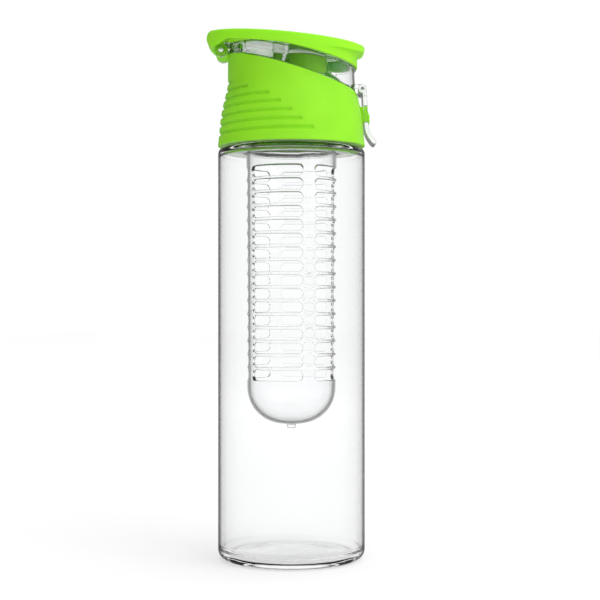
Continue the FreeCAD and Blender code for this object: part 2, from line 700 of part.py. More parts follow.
def cover_side_outline():
    """Side outline of the cover's brim: a thick nose at the back, a long flat crown, a lip at the front."""
    nose = nose_x()
    nose_top = (nose + NOSE_BACK, HINGE_Z + NOSE_TOP_RISE)
    nose_tip = (nose, HINGE_Z + NOSE_TIP_RISE)
    chin = (nose + NOSE_BACK, HINGE_Z + NOSE_UNDER_RISE)
    chin_in = (chin[0] + NOSE_CHIN, roof_z(chin[0] + NOSE_CHIN) - CHIN_DROP)
    crown = (0, ROOF_Z + COVER_OVER_ROOF)
    lip_x = BRIM_REACH - LIP_LENGTH
    lip_top = (lip_x, roof_z(lip_x) + LIP_OVER_ROOF)
    lip_tip = (BRIM_REACH, lip_top[1] - LIP_TIP_DROP)
    lip_under = (lip_x, roof_z(lip_x) - LIP_UNDER_ROOF)
    return [
        nose_bend(nose_tip, chin),
        nose_bend(nose_tip, nose_top),
        arc(nose_top, crown, lip_top),
        arc(lip_top, lip_tip, lip_under),
        line(lip_under, chin_in),
        line(chin_in, chin),
    ]


def cover_flare():
    """Cone that widens the skirt towards the brim, which leaves it only under the front lip and the nose."""
    radius = DOME_RADIUS + COVER_SKIRT
    cone = Part.makeCone(radius, radius + LIP_FLARE, LIP_FLARE, Vec(0, 0, -LIP_FLARE))
    cone.rotate(Vec(0, 0, 0), Vec(0, 1, 0), ROOF_TILT_DEG)
    cone.translate(Vec(0, 0, ROOF_Z))
    return cone


def cover_brim():
    """Brim of the cover: its side outline swept across a wide crown, trimmed to an oval seen from above."""
    face = Part.Face(Part.Wire(cover_side_outline()))
    crown_axis = Vec(1, 0, -ROOF_SLOPE)
    face.rotate(Vec(0, 0, ROOF_Z - CROWN_RADIUS), crown_axis, -CROWN_HALF_DEG)
    crowned = face.revolve(Vec(0, 0, ROOF_Z - CROWN_RADIUS), crown_axis, 2 * CROWN_HALF_DEG)
    half_length = 0.5 * (BRIM_REACH - nose_x()) + OVAL_MARGIN
    half_width = DOME_RADIUS + COVER_SKIRT
    middle = Vec(0.5 * (BRIM_REACH + nose_x()), 0, BODY_HEIGHT)
    oval = Part.Ellipse(middle, max(half_length, half_width), min(half_length, half_width))
    prism = Part.Face(Part.Wire(oval.toShape())).extrude(Vec(0, 0, REACH_OUT / 2))
    return crowned.fuse(cover_flare()).common(prism)


def top_cover():
    """Soft cover that caps the dome: a skirt round its wall and a brim with a thumb nose and a front lip."""
    skirt = Part.makeCylinder(DOME_RADIUS + COVER_SKIRT, 2 * LID_RISE, Vec(0, 0, BODY_HEIGHT))
    skirt = skirt.cut(above(ROOF_Z, ROOF_TILT_DEG))
    skirt = skirt.common(above(ROOF_Z - COVER_EDGE_DROP, COVER_EDGE_TILT_DEG))
    inside = [dome_block(0, 0), dome_ledge(), hinge_clearance(), *hinge_ears(), *side_bosses()]
    return one_solid(cover_brim().fuse(skirt).cut(inside))


def plug(disc_radius, disc_height, tip_radius, tip_length, taper):
    """Soft disc under the roof with a tapered tip that enters a bore."""
    disc = Part.makeCylinder(disc_radius, disc_height, Vec(0, 0, -disc_height))
    tip = Part.makeCone(tip_radius - taper, tip_radius, tip_length, Vec(0, 0, -disc_height - tip_length))
    return disc.fuse(tip)


def spout_seal():
    """Soft plug under the roof that closes the spout."""
    tip = SPOUT_RADIUS - SPOUT_WALL - PLUG_GAP
    shape = plug(SPOUT_RADIUS - SEAL_MARGIN, SEAL_THICKNESS, tip, PLUG_LENGTH, PLUG_TAPER)
    return one_solid(on_roof(shape, SPOUT_OFFSET))


def vent_seal():
    """Small soft plug under the roof that closes the air vent."""
    tip = VENT_BORE - VENT_TIP_GAP
    shape = plug(VENT_RADIUS + VENT_SEAL_MARGIN, SEAL_THICKNESS, tip, VENT_TIP_LENGTH, VENT_TIP_GAP)
    return one_solid(on_roof(shape, VENT_X))


# Latch
def knee_x():
    """Inner face of the latch at its knee, just clear of the sleeve."""
    return sleeve_radius(KNEE_Z) + LATCH_GAP


def front_latch():
    """Clear latch: a knuckle on its pin, a plate with a window over the catch, and a flared finger tail."""
    knee = knee_x()
    thick = LATCH_THICKNESS
    centre = (knee + thick + TAIL_RADIUS, KNEE_Z)
    end_deg = 180 + TAIL_BEND_DEG
    bend = math.radians(TAIL_BEND_DEG)
    middle = TAIL_RADIUS + thick / 2
    tip_centre = (centre[0] - middle * math.cos(bend), centre[1] - middle * math.sin(bend))
    edges = [
        line((LATCH_X, LATCH_Z), (knee, KNEE_Z)),
        corner(centre, TAIL_RADIUS + thick, 180, end_deg),
        corner(tip_centre, thick / 2, end_deg, end_deg + 180),
        corner(centre, TAIL_RADIUS, end_deg, 180),
        line((knee + thick, KNEE_Z), (LATCH_X + thick, LATCH_Z)),
        line((LATCH_X + thick, LATCH_Z), (LATCH_X, LATCH_Z)),
    ]
    body = plate(edges, LATCH_HALF_WIDTH)
    body = body.fuse(rod(LATCH_X, LATCH_Z, thick, -LATCH_HALF_WIDTH, LATCH_HALF_WIDTH))
    window = bar(LATCH_X - thick, knee + 2 * thick, KNEE_Z, KNEE_Z + WINDOW_HEIGHT, WINDOW_HALF_WIDTH)
    bore = rod(LATCH_X, LATCH_Z, LATCH_PIN_RADIUS + PIN_CLEARANCE, -LATCH_HALF_WIDTH, LATCH_HALF_WIDTH)
    return one_solid(body.cut([window, bore]))


def latch_pin():
    """Steel pin of the latch, pressed into the dome's front ears."""
    half = LATCH_HALF_WIDTH + LATCH_SIDE_GAP + LATCH_EAR_WIDTH
    return rod(LATCH_X, LATCH_Z, LATCH_PIN_RADIUS, -half, half)


PIECES = (
    bottle_body,
    infuser_basket,
    basket_o_ring,
    lid_gasket,
    lid_core,
    spout_deck,
    grip_sleeve,
    flip_dome,
    top_cover,
    spout_seal,
    vent_seal,
    hinge_pin,
    front_latch,
    latch_pin,
)


def main():
    """Builds every piece and writes one STEP file for each."""
    os.makedirs("parts", exist_ok=True)
    for piece in PIECES:
        shape = piece()
        if not shape.isValid() or shape.Volume <= 0:
            raise ValueError(piece.__name__ + " is not a sound solid")
        shape.exportStep(os.path.join("parts", piece.__name__ + ".step"))
        box = shape.optimalBoundingBox(True, False)
        print("%-16s %9.1f mm3  x %.2f..%.2f  z %.2f..%.2f" % (
            piece.__name__, shape.Volume, box.XMin, box.XMax, box.ZMin, box.ZMax
        ))


main()
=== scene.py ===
"""Looks of the fruit infuser bottle: clear plastic bottle, basket and flip-top, and lime lid pieces.

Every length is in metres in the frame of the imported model: +Z up, the latch at +X, the hinge at -X.
"""

import math

import bmesh
import bpy
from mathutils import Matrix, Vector


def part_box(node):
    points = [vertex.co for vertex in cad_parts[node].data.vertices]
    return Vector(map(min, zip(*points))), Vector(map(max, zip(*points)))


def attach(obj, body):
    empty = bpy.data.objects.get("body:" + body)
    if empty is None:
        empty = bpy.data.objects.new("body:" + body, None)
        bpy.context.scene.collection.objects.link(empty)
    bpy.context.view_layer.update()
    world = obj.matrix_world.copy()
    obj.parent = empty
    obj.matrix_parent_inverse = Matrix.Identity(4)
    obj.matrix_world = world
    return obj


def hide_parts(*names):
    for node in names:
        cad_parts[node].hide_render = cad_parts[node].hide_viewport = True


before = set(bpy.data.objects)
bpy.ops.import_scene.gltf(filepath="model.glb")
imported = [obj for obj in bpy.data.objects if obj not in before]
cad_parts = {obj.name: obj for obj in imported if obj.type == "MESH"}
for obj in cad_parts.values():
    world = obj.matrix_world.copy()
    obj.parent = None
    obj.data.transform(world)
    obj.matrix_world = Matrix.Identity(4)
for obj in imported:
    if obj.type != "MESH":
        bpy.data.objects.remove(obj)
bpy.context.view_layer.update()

MM = 0.001

# Mesh making: gaps under which points become one, angles past which edges are sharp, and fineness
SEAM_GAP = 1e-6
WELD_GAP = 0.002 * MM
AXIS_RADIUS = 1e-9
FLAT_DEG = 0.5
SHARP_DEG = 40.0
CLEAR_SHARP_DEG = 35.0
SMALL_SHARP_DEG = 30.0
ALL_SMOOTH_DEG = 180.0
UPRIGHT_SHARE = 0.7
INWARD_SHARE = 0.5
ROUND_STEPS = 5
BAR_STEPS = 64
TOOL_EDGE = 0.05 * MM

# Bottle
BODY_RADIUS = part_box("bottle_body")[1].x
NECK_RIM_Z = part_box("bottle_body")[1].z
BODY_WALL = 2.0 * MM
BODY_HEIGHT = 201.4 * MM
BASE_CORNER = 5.0 * MM
FLOOR_CORNER = 5.0 * MM
FLOOR_THICKNESS = 3.0 * MM
PUSH_UP = 2.4 * MM
BASE_FLAT = 4.0 * MM
FOOT_WIDTH = 4.5 * MM
SHOULDER_CORNER = 3.0 * MM
SHOULDER_THICKNESS = 2.4 * MM
NECK_WALL = 2.2 * MM
NECK_RADIUS = 26.8 * MM
RIM_ROUND = 0.5 * MM
BOTTLE_SEGMENTS = 256
BASE_STEPS = 10
WALL_STEPS = 24
SHOULDER_STEPS = 8
RIM_STEPS = 4

# Screw thread on the neck
THREAD_LEAD = 6.0 * MM
THREAD_HEIGHT = 1.4 * MM
THREAD_ROOT = 2.2 * MM
THREAD_CREST = 1.2 * MM
THREAD_SINK = 0.05 * MM
THREAD_RISE = 4.6 * MM
THREAD_TURNS = 1.4
THREAD_STEPS_PER_TURN = 120

# Basket
BASKET_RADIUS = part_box("infuser_basket")[1].x
BASKET_TOP_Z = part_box("infuser_basket")[1].z
NUB_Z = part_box("infuser_basket")[0].z
BASKET_DRAFT = 0.6 * MM
BASKET_WALL = 1.6 * MM
BASKET_LENGTH = 154.9 * MM
BASKET_CORNER = 17.7 * MM
NUB_RADIUS = 2.2 * MM
SLOT_ROWS = 16
SLOT_COLUMNS = 4
SLOT_HEIGHT = 5.0 * MM
RIB_HEIGHT = 1.55 * MM
SLOT_START = 29.9 * MM
POST_WIDTH = 6.4 * MM
POST_TURN_DEG = 23.4
SLOT_EDGE_ROUND = 0.7 * MM
SLOT_STRAIGHT_STEPS = 36
SLOT_CORNER_STEPS = 6
SLOT_SIDE_STEPS = 8
COLLAR_STEPS = 8
CUP_STEPS = 16
BASKET_EDGE_STEPS = 4

# Lid's sloping rim
RIM_Z = 237.7 * MM
RIM_SLOPE = math.tan(math.radians(16.7))
RIM_PASSES = 5

# Grip sleeve: each knot of its outline is a rise over the foot, a radius and a slope
SLEEVE_FOOT_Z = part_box("grip_sleeve")[0].z
SLEEVE_TOP_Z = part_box("grip_sleeve")[1].z
SLEEVE_BORE = 30.4 * MM
SLEEVE_KNOTS = (
    (0.0 * MM, 36.1 * MM, -0.109),
    (16.5 * MM, 34.3 * MM, -0.174),
    (24.8 * MM, 32.45 * MM, -0.254),
    (32.0 * MM, 31.2 * MM, 0.0),
)
SLEEVE_SEGMENTS = 480
SLEEVE_EDGE = 0.45 * MM
SLEEVE_INNER_EDGE = 0.2 * MM
SLEEVE_EDGE_STEPS = 5
SLEEVE_INNER_STEPS = 3
SLEEVE_FOOT_ROWS = 5
SLEEVE_TOP_ROWS = 12
GROOVE_HALF_WIDTH = 1.35 * MM
GROOVE_DEPTH = 1.0 * MM
GROOVE_SKIN = 0.2 * MM
GROOVE_START = 5.8 * MM
GROOVE_PITCH = 4.2 * MM
GROOVE_HALF_ANGLES_DEG = (106.0, 97.0, 89.0, 80.0, 70.0, 48.0, 22.0)
GROOVE_ROWS = 24

# Hinge
HINGE_X = -34.1 * MM
HINGE_Z = 248.23 * MM
KNUCKLE_RADIUS = 3.3 * MM
KNUCKLE_GAP = 0.4 * MM
KNUCKLE_STEPS = 40
LUG_HALF_WIDTH = 7.1 * MM
LUG_ROOT_DROP = 1.6 * MM
LUG_ROOT_X = -28.6 * MM
EAR_WIDTH = 3.6 * MM
EAR_ROOT = 6.4 * MM
EAR_ROOT_RISE = 0.5 * MM
HINGE_PIN_RADIUS = 1.2 * MM
PIN_COVER = 0.8 * MM

# Flip-top dome
DOME_RADIUS = 30.9 * MM
DOME_WALL = 1.8 * MM
DOME_TAPER = math.tan(math.radians(2.6))
DOME_GAP = 0.3 * MM
DOME_EDGE = 0.35 * MM
DOME_FILLET = 1.0 * MM
DOME_FLARE_DEG = 75
DOME_SEGMENTS = 256
DOME_WALL_STEPS = 6
DOME_EDGE_STEPS = 4
DOME_FILLET_STEPS = 5
ROOF_Z = 251.0 * MM
ROOF_TILT = math.radians(5.7)
ROOF_SLOPE = math.tan(ROOF_TILT)
COVER_EDGE_DROP = 3.8 * MM
COVER_EDGE_SLOPE = math.tan(math.radians(12.4))
COVER_FIT = 0.04 * MM
LEDGE_STAND = 0.8 * MM
LEDGE_HEIGHT = 1.0 * MM
LEDGE_GAP = 0.1 * MM
LEDGE_EDGE = 0.3 * MM
LEDGE_WALL_SHARE = 0.75
BOSS_X = -23.9 * MM
BOSS_RISE = 2.7 * MM
BOSS_RADIUS = 2.2 * MM
BOSS_STAND = 0.9 * MM
BOSS_ROOT = 5.0 * MM

# Soft cover
COVER_VOXEL = 0.3 * MM
COVER_SMOOTHING = 0.5
COVER_PASSES = 8

# Front latch
LATCH_X = 34.525 * MM
LATCH_Z = 229.34 * MM
LATCH_THICKNESS = 2.0 * MM
LATCH_HALF_WIDTH = 8.5 * MM
LATCH_DROP = 16.3 * MM
LATCH_GAP = 0.4 * MM
LATCH_SIDE_GAP = 0.4 * MM
LATCH_EAR_WIDTH = 2.2 * MM
LATCH_PIN_RADIUS = 0.8 * MM
LATCH_EDGE = 0.7 * MM
PIN_CLEARANCE = 0.08 * MM
TAIL_RADIUS = 12.0 * MM
TAIL_BEND_DEG = 46.0
PLATE_STEPS = 8
TAIL_STEPS = 24
TIP_STEPS = 12
WINDOW_HALF_WIDTH = 4.8 * MM
WINDOW_HEIGHT = 9.0 * MM
WINDOW_CORNER = 0.8 * MM
WINDOW_STEPS = 5
CATCH_SIDE_GAP = 0.5 * MM
CATCH_UNDER_GAP = 0.5 * MM
CATCH_HEIGHT = 7.8 * MM
SLEEVE_WINDOW_GAP = 0.2 * MM

# Inner pieces
LID_EDGE = 0.3 * MM
RUBBER_EDGE = 0.2 * MM
PIN_EDGE = 0.15 * MM
EDGE_SEGMENTS = 3

# Clear plastics: painted edge shade, the share of light let through by how far a face is turned from the
# eye, falling off edge-on to draw dark outlines
CLEAR_TINT = (0.990, 0.993, 0.995)
WALL_PAINTED_EDGE = ((0.0, 1.0), (0.30, 0.985), (0.50, 0.88), (0.62, 0.74), (0.70, 0.50), (0.77, 0.03))
BASKET_PAINTED_EDGE = ((0.0, 1.0), (0.25, 0.96), (0.45, 0.80), (0.56, 0.45), (0.64, 0.03))
PLAIN_PAINTED_EDGE = ((0.0, 1.0), (0.6, 0.98), (1.0, 0.88))
LATCH_PAINTED_EDGE = ((0.0, 1.0), (0.20, 0.95), (0.45, 0.50), (0.70, 0.05))

# Lime plastics: a darker and a lighter shade each; the cover's and core's lime is painted lighter than
# the sleeve's, standing in for the brighter light on the lid
LIME = ((0.25, 0.70, 0.008), (0.28, 0.75, 0.010))
LIME_PAINTED_LIGHTER = ((0.28, 0.76, 0.010), (0.31, 0.79, 0.012))

# Ranges of a noise over which the finish and the tint of a material change
FINISH_RANGE = (0.3, 0.7)
TINT_RANGE = (0.35, 0.65)

# Stage: floor, backdrop, and the shades of the surroundings from left to right
FLOOR_HALF_SIDE = 6.0
FLOOR_SINK = 0.1 * MM
FLOOR_GLOW_REACH = (0.3, 1.0)
FLOOR_GLOW = (0.50, 0.60)
BACKDROP_RADIUS = 5.0
BACKDROP_DIP_DEG = 2
BACKDROP_STEPS = 12
BACKDROP_SEGMENTS = 48
WORLD_SHADES = ((0.0, 0.34), (0.35, 0.74), (0.57, 1.0), (1.0, 1.0))
WORLD_IN_GLOSS = 0.3
CLEAR_BOUNCES = 32
GLOSS_BOUNCES = 12

# Camera: level with the middle of the bottle, a little to the right of its axis
EYE = Vector((4.2 * MM, -700.0 * MM, 126.8 * MM))
HALF_FRAME_PIXELS = 300.0
FOCAL_PIXELS = 1423.0


# Mesh helpers
def arc_points(centre, radius, from_deg, to_deg, steps):
    """Points along a circle in a plane, ends included, with angles from its first axis to its second."""
    points = []
    for i in range(steps + 1):
        turn = math.radians(from_deg + (to_deg - from_deg) * i / steps)
        points.append((centre[0] + radius * math.cos(turn), centre[1] + radius * math.sin(turn)))
    return points


def line_points(start, end, steps):
    """Evenly spaced points from start up to, but not including, end."""
    return [tuple(a + (b - a) * i / steps for a, b in zip(start, end)) for i in range(steps)]


def on_axis(radius, angle, z):
    """Point at a radius and an angle (radians) about the bottle's axis."""
    return Vector((radius * math.cos(angle), radius * math.sin(angle), z))


def strip_faces(start_a, count_a, start_b, count_b):
    """Faces between two rings of points, either of which may be a single point."""
    count = max(count_a, count_b)
    faces = []
    for i in range(count):
        j = (i + 1) % count
        corners = [start_a + i % count_a, start_a + j % count_a]
        corners += [start_b + j % count_b, start_b + i % count_b]
        faces.append([c for k, c in enumerate(corners) if c not in corners[:k]])
    return faces


def ring_mesh(rings, joined=False, capped=False):
    """Skin over rings of points; joined links the last ring to the first, capped closes both ends."""
    starts = []
    points = []
    for ring in rings:
        starts.append(len(points))
        points.extend(ring)
    pairs = [(k, k + 1) for k in range(len(rings) - 1)]
    if joined:
        pairs.append((len(rings) - 1, 0))
    faces = []
    for a, b in pairs:
        faces.extend(strip_faces(starts[a], len(rings[a]), starts[b], len(rings[b])))
    if capped:
        faces.append(list(range(len(rings[0]))))
        faces.append(list(range(starts[-1], len(points))))
    return points, faces


def lathe_rings(outline, angles):
    """One ring of points for each (r, z) of an outline, with a single point where it meets the axis."""
    rings = []
    for radius, z in outline:
        if radius < AXIS_RADIUS:
            rings.append([Vector((0, 0, z))])
        else:
            rings.append([on_axis(radius, a, z) for a in angles])
    return rings


def even_angles(count):
    """Angles evenly spaced round a full turn."""
    return [2 * math.pi * i / count for i in range(count)]


def outward_ways(outline):
    """Outward direction at each point of a closed outline that runs anticlockwise."""
    ways = []
    for k, before in enumerate(outline[-1:] + outline[:-1]):
        after = outline[(k + 1) % len(outline)]
        along = Vector((after[0] - before[0], after[1] - before[1])).normalized()
        ways.append((along.y, -along.x))
    return ways


def prism(outline, y0, y1, edge):
    """Skin of a plate between two y values with a closed (x, z) outline and rounded edges."""
    ways = outward_ways(outline)
    rounds = arc_points((edge, edge), edge, 270, 180, ROUND_STEPS)
    places = [(inset, y0 + depth) for inset, depth in rounds]
    places += [(inset, y1 - depth) for inset, depth in reversed(rounds)]
    rings = []
    for inset, y in places:
        ring = []
        for (x, z), (way_x, way_z) in zip(outline, ways):
            ring.append(Vector((x - way_x * inset, y, z - way_z * inset)))
        rings.append(ring)
    return ring_mesh(rings, capped=True)


def turned_to_x(skin):
    """The skin with its y axis turned to x, and its x axis to y."""
    points, faces = skin
    return [Vector((p.y, p.x, p.z)) for p in points], faces


def round_bar(x, z, radius, y0, y1, edge):
    """Skin of a rod along y with rounded ends."""
    return prism(arc_points((x, z), radius, 0, 360, BAR_STEPS)[:-1], y0, y1, edge)


def mirrored(skin):
    """The skin and its mirror image on the other side of y = 0."""
    points, faces = skin
    return [skin, ([Vector((p.x, -p.y, p.z)) for p in points], faces)]


def new_object(name, data):
    """New object in the scene."""
    made = bpy.data.objects.new(name, data)
    bpy.context.scene.collection.objects.link(made)
    return made


def mesh_object(name, skins, material=None):
    """Object in the scene from (points, faces) skins, welded, with its faces turned outwards."""
    work = bmesh.new()
    for points, faces in skins:
        made = [work.verts.new(p) for p in points]
        for face in faces:
            work.faces.new([made[i] for i in face])
    bmesh.ops.remove_doubles(work, verts=work.verts, dist=SEAM_GAP)
    bmesh.ops.recalc_face_normals(work, faces=work.faces)
    mesh = bpy.data.meshes.new(name)
    work.to_mesh(mesh)
    work.free()
    if material:
        mesh.materials.append(material)
    return new_object(name, mesh)


def weld(mesh):
    """Joins points of a mesh that all but coincide, and drops faces that shrink to nothing."""
    work = bmesh.new()
    work.from_mesh(mesh)
    bmesh.ops.remove_doubles(work, verts=work.verts, dist=WELD_GAP)
    bmesh.ops.dissolve_degenerate(work, edges=work.edges, dist=WELD_GAP)
    work.to_mesh(mesh)
    work.free()


def with_modifiers(name, work, material):
    """New object with the mesh that a work object has after its modifiers; the work object goes."""
    shaped = work.evaluated_get(bpy.context.evaluated_depsgraph_get())
    mesh = bpy.data.meshes.new_from_object(shaped)
    mesh.name = name
    weld(mesh)
    bpy.data.objects.remove(work)
    mesh.materials.clear()
    mesh.materials.append(material)
    return new_object(name, mesh)


def combined(name, skin, added, removed, material):
    """Object made of a closed skin, with closed skins joined to it and then others cut out of it."""
    work = mesh_object(name + "_work", [skin])
    tools = []
    for kind, group in (("UNION", added), ("DIFFERENCE", removed)):
        for other in group:
            tool = mesh_object(name + "_tool", [other])
            change = work.modifiers.new(tool.name, "BOOLEAN")
            change.operation = kind
            change.solver = "EXACT"
            change.object = tool
            tools.append(tool)
    made = with_modifiers(name, work, material)
    for tool in tools:
        bpy.data.objects.remove(tool)
    return made


def finished(piece, body, node, sharp_deg=SHARP_DEG):
    """Smooth-shades a piece, and lets it ride on a body in place of a solid."""
    piece.data.shade_smooth()
    piece.data.set_sharp_from_angle(angle=math.radians(sharp_deg))
    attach(piece, body)
    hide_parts(node)


# In use, the second material carries weaker painted edge shade than the first
def plain_elsewhere(piece, material, low, high):
    """Gives a second material to all faces of a piece but its upright outside between two radii."""
    piece.data.materials.append(material)
    for face in piece.data.polygons:
        out = Vector((face.center.x, face.center.y, 0.0))
        upright = low < out.length < high and face.normal.dot(out.normalized()) > UPRIGHT_SHARE
        face.material_index = int(not upright)


def plain_inside(piece, material, bend_z):
    """Gives a second material to the inner faces of a cup whose round bottom starts at a height."""
    piece.data.materials.append(material)
    for face in piece.data.polygons:
        out = Vector((face.center.x, face.center.y, min(0.0, face.center.z - bend_z)))
        face.material_index = int(face.normal.dot(out.normalized()) < -INWARD_SHARE)


# Materials
def new_material(name):
    """Empty node material: its tree, and its shader node."""
    material = bpy.data.materials.new(name)
    material.use_nodes = True
    return material, material.node_tree, material.node_tree.nodes["Principled BSDF"]


def set_values(node, values):
    """Sets inputs of a node, by name, to plain values."""
    for name, value in values.items():
        node.inputs[name].default_value = value


def feed(tree, node, sources):
    """Links outputs of other nodes to inputs of a node, by name."""
    for name, source in sources.items():
        tree.links.new(source, node.inputs[name])


def noise(tree, scale, detail=3.0):
    """Noise in the piece's own coordinates, with a scale per metre."""
    place = tree.nodes.new("ShaderNodeTexCoord")
    node = tree.nodes.new("ShaderNodeTexNoise")
    set_values(node, {"Scale": scale, "Detail": detail})
    feed(tree, node, {"Vector": place.outputs["Object"]})
    return node.outputs["Fac"]


def map_range(tree, value, source, target):
    """The value carried over from one (low, high) range to another."""
    node = tree.nodes.new("ShaderNodeMapRange")
    set_values(node, {"From Min": source[0], "From Max": source[1]})
    set_values(node, {"To Min": target[0], "To Max": target[1]})
    feed(tree, node, {"Value": value})
    return node.outputs["Result"]


def spread(tree, value, low, high):
    """A noise carried over to the range from low to high."""
    return map_range(tree, value, FINISH_RANGE, (low, high))


def ramp(tree, value, stops):
    """Colour from a value, by (position, colour) stops."""
    node = tree.nodes.new("ShaderNodeValToRGB")
    elements = node.color_ramp.elements
    while len(elements) < len(stops):
        elements.new(0.5)
    for element, (position, colour) in zip(elements, stops):
        element.position = position
        element.color = (*colour, 1.0)
    feed(tree, node, {"Fac": value})
    return node.outputs["Color"]


def tint(tree, value, dark, light):
    """Colour between two close shades, by a value."""
    return ramp(tree, value, list(zip(TINT_RANGE, (dark, light))))


def bump(tree, height, strength, distance):
    """Normal from a height value."""
    node = tree.nodes.new("ShaderNodeBump")
    set_values(node, {"Strength": strength, "Distance": distance})
    feed(tree, node, {"Height": height})
    return node.outputs["Normal"]


def clear_plastic(name, painted_edge, roughness, mirror):
    """Clear moulded plastic with faint flow ripples, and painted edge shade: darker by (facing, shade)
    stops where seen edge-on.
    """
    material, tree, shader = new_material(name)
    # Painted edge shade: the base colour darkens as a face turns edge-on to the eye
    facing = tree.nodes.new("ShaderNodeLayerWeight")
    set_values(facing, {"Blend": 0.5})
    stops = [(place, tuple(c * shade for c in CLEAR_TINT)) for place, shade in painted_edge]
    feed(tree, shader, {
        "Base Color": ramp(tree, facing.outputs["Facing"], stops),
        "Roughness": spread(tree, noise(tree, scale=60.0), 0.5 * roughness, roughness),
        "Normal": bump(tree, noise(tree, scale=25.0, detail=1.0), strength=0.04, distance=0.4 * MM),
    })
    set_values(shader, {
        "Transmission Weight": 1.0,
        "IOR": 1.5,
        "Specular Tint": (mirror, mirror, mirror, 1.0),
    })
    return material


def green_plastic(name, dark, light, roughness, gloss, glow):
    """Lime moulded plastic with a fine satin grain, that lets some light through."""
    material, tree, shader = new_material(name)
    feed(tree, shader, {
        "Base Color": tint(tree, noise(tree, scale=45.0), dark, light),
        "Roughness": spread(tree, noise(tree, scale=220.0), roughness - 0.05, roughness + 0.06),
        "Normal": bump(tree, noise(tree, scale=900.0, detail=2.0), strength=0.25, distance=0.03 * MM),
    })
    set_values(shader, {
        "Specular IOR Level": gloss,
        "Subsurface Weight": glow,
        "Subsurface Radius": (0.6, 1.0, 0.2),
        "Subsurface Scale": 4.0 * MM,
    })
    return material


def silicone():
    """Clear silicone rubber with a faint haze."""
    material, tree, shader = new_material("silicone")
    feed(tree, shader, {
        "Base Color": tint(tree, noise(tree, scale=120.0), (0.90, 0.94, 0.88), (0.95, 0.98, 0.93)),
        "Roughness": spread(tree, noise(tree, scale=400.0), low=0.16, high=0.26),
        "Normal": bump(tree, noise(tree, scale=2500.0), strength=0.15, distance=0.05 * MM),
    })
    set_values(shader, {"Transmission Weight": 0.95, "IOR": 1.3})
    return material


def steel():
    """Drawn steel wire with fine scratches."""
    material, tree, shader = new_material("steel")
    feed(tree, shader, {
        "Base Color": tint(tree, noise(tree, scale=900.0), (0.72, 0.73, 0.75), (0.86, 0.87, 0.88)),
        "Roughness": spread(tree, noise(tree, scale=1500.0), low=0.22, high=0.38),
    })
    set_values(shader, {"Metallic": 1.0})
    return material


# Bottle
def raised_outline(rim_radius, rim_z):
    """Points of the raised base from its middle flat down to a rim."""
    span = rim_radius - BASE_FLAT
    radius = (span**2 + PUSH_UP**2) / (2 * PUSH_UP)
    turn = math.degrees(math.asin(span / radius))
    return arc_points((BASE_FLAT, rim_z + PUSH_UP - radius), radius, 90, 90 - turn, BASE_STEPS)


def bottle_outside():
    """Outline of the bottle's outside, from the axis under the base to the top of the neck."""
    foot = BODY_RADIUS - BASE_CORNER
    shoulder = (BODY_RADIUS - SHOULDER_CORNER, BODY_HEIGHT - SHOULDER_CORNER)
    outline = [(0.0, PUSH_UP)]
    outline += raised_outline(foot - FOOT_WIDTH, 0.0)
    outline += arc_points((foot, BASE_CORNER), BASE_CORNER, -90, 0, BASE_STEPS)
    outline += line_points((BODY_RADIUS, BASE_CORNER), (BODY_RADIUS, shoulder[1]), WALL_STEPS)[1:]
    outline += arc_points(shoulder, SHOULDER_CORNER, 0, 90, SHOULDER_STEPS)
    neck_root = (NECK_RADIUS + RIM_ROUND, BODY_HEIGHT + RIM_ROUND)
    neck_rim = (NECK_RADIUS - RIM_ROUND, NECK_RIM_Z - RIM_ROUND)
    outline += arc_points(neck_root, RIM_ROUND, 270, 180, RIM_STEPS)
    outline += arc_points(neck_rim, RIM_ROUND, 0, 90, RIM_STEPS)
    return outline


def bottle_inside():
    """Outline of the bottle's inside, from the top of the neck to the axis over the base."""
    inner = BODY_RADIUS - BODY_WALL
    ceiling = BODY_HEIGHT - SHOULDER_THICKNESS
    bore = NECK_RADIUS - NECK_WALL
    shoulder = (inner - SHOULDER_CORNER, ceiling - SHOULDER_CORNER)
    floor_edge = inner - FLOOR_CORNER
    low = FLOOR_THICKNESS + FLOOR_CORNER
    outline = arc_points((bore + RIM_ROUND, NECK_RIM_Z - RIM_ROUND), RIM_ROUND, 90, 180, RIM_STEPS)
    outline += arc_points((bore + RIM_ROUND, ceiling + RIM_ROUND), RIM_ROUND, 180, 270, RIM_STEPS)
    outline += arc_points(shoulder, SHOULDER_CORNER, 90, 0, SHOULDER_STEPS)
    outline += line_points((inner, shoulder[1]), (inner, low), WALL_STEPS)[1:]
    outline += arc_points((floor_edge, low), FLOOR_CORNER, 0, -90, BASE_STEPS)
    outline += raised_outline(floor_edge, FLOOR_THICKNESS)[-2::-1]
    outline.append((0.0, FLOOR_THICKNESS + PUSH_UP))
    return outline


def neck_thread():
    """Skin of the helical ridge round the neck."""
    outline = [(-THREAD_SINK, -THREAD_ROOT / 2), (THREAD_HEIGHT, -THREAD_CREST / 2)]
    outline += [(THREAD_HEIGHT, THREAD_CREST / 2), (-THREAD_SINK, THREAD_ROOT / 2)]
    steps = int(THREAD_TURNS * THREAD_STEPS_PER_TURN)
    rings = [[on_axis(NECK_RADIUS, 0, BODY_HEIGHT + THREAD_RISE)]]
    for i in range(steps + 1):
        turns = THREAD_TURNS * i / steps
        z = BODY_HEIGHT + THREAD_RISE + THREAD_LEAD * turns
        rings.append([on_axis(NECK_RADIUS + r, 2 * math.pi * turns, z + dz) for r, dz in outline])
    rings.append([on_axis(NECK_RADIUS, 2 * math.pi * THREAD_TURNS, z)])
    return ring_mesh(rings)


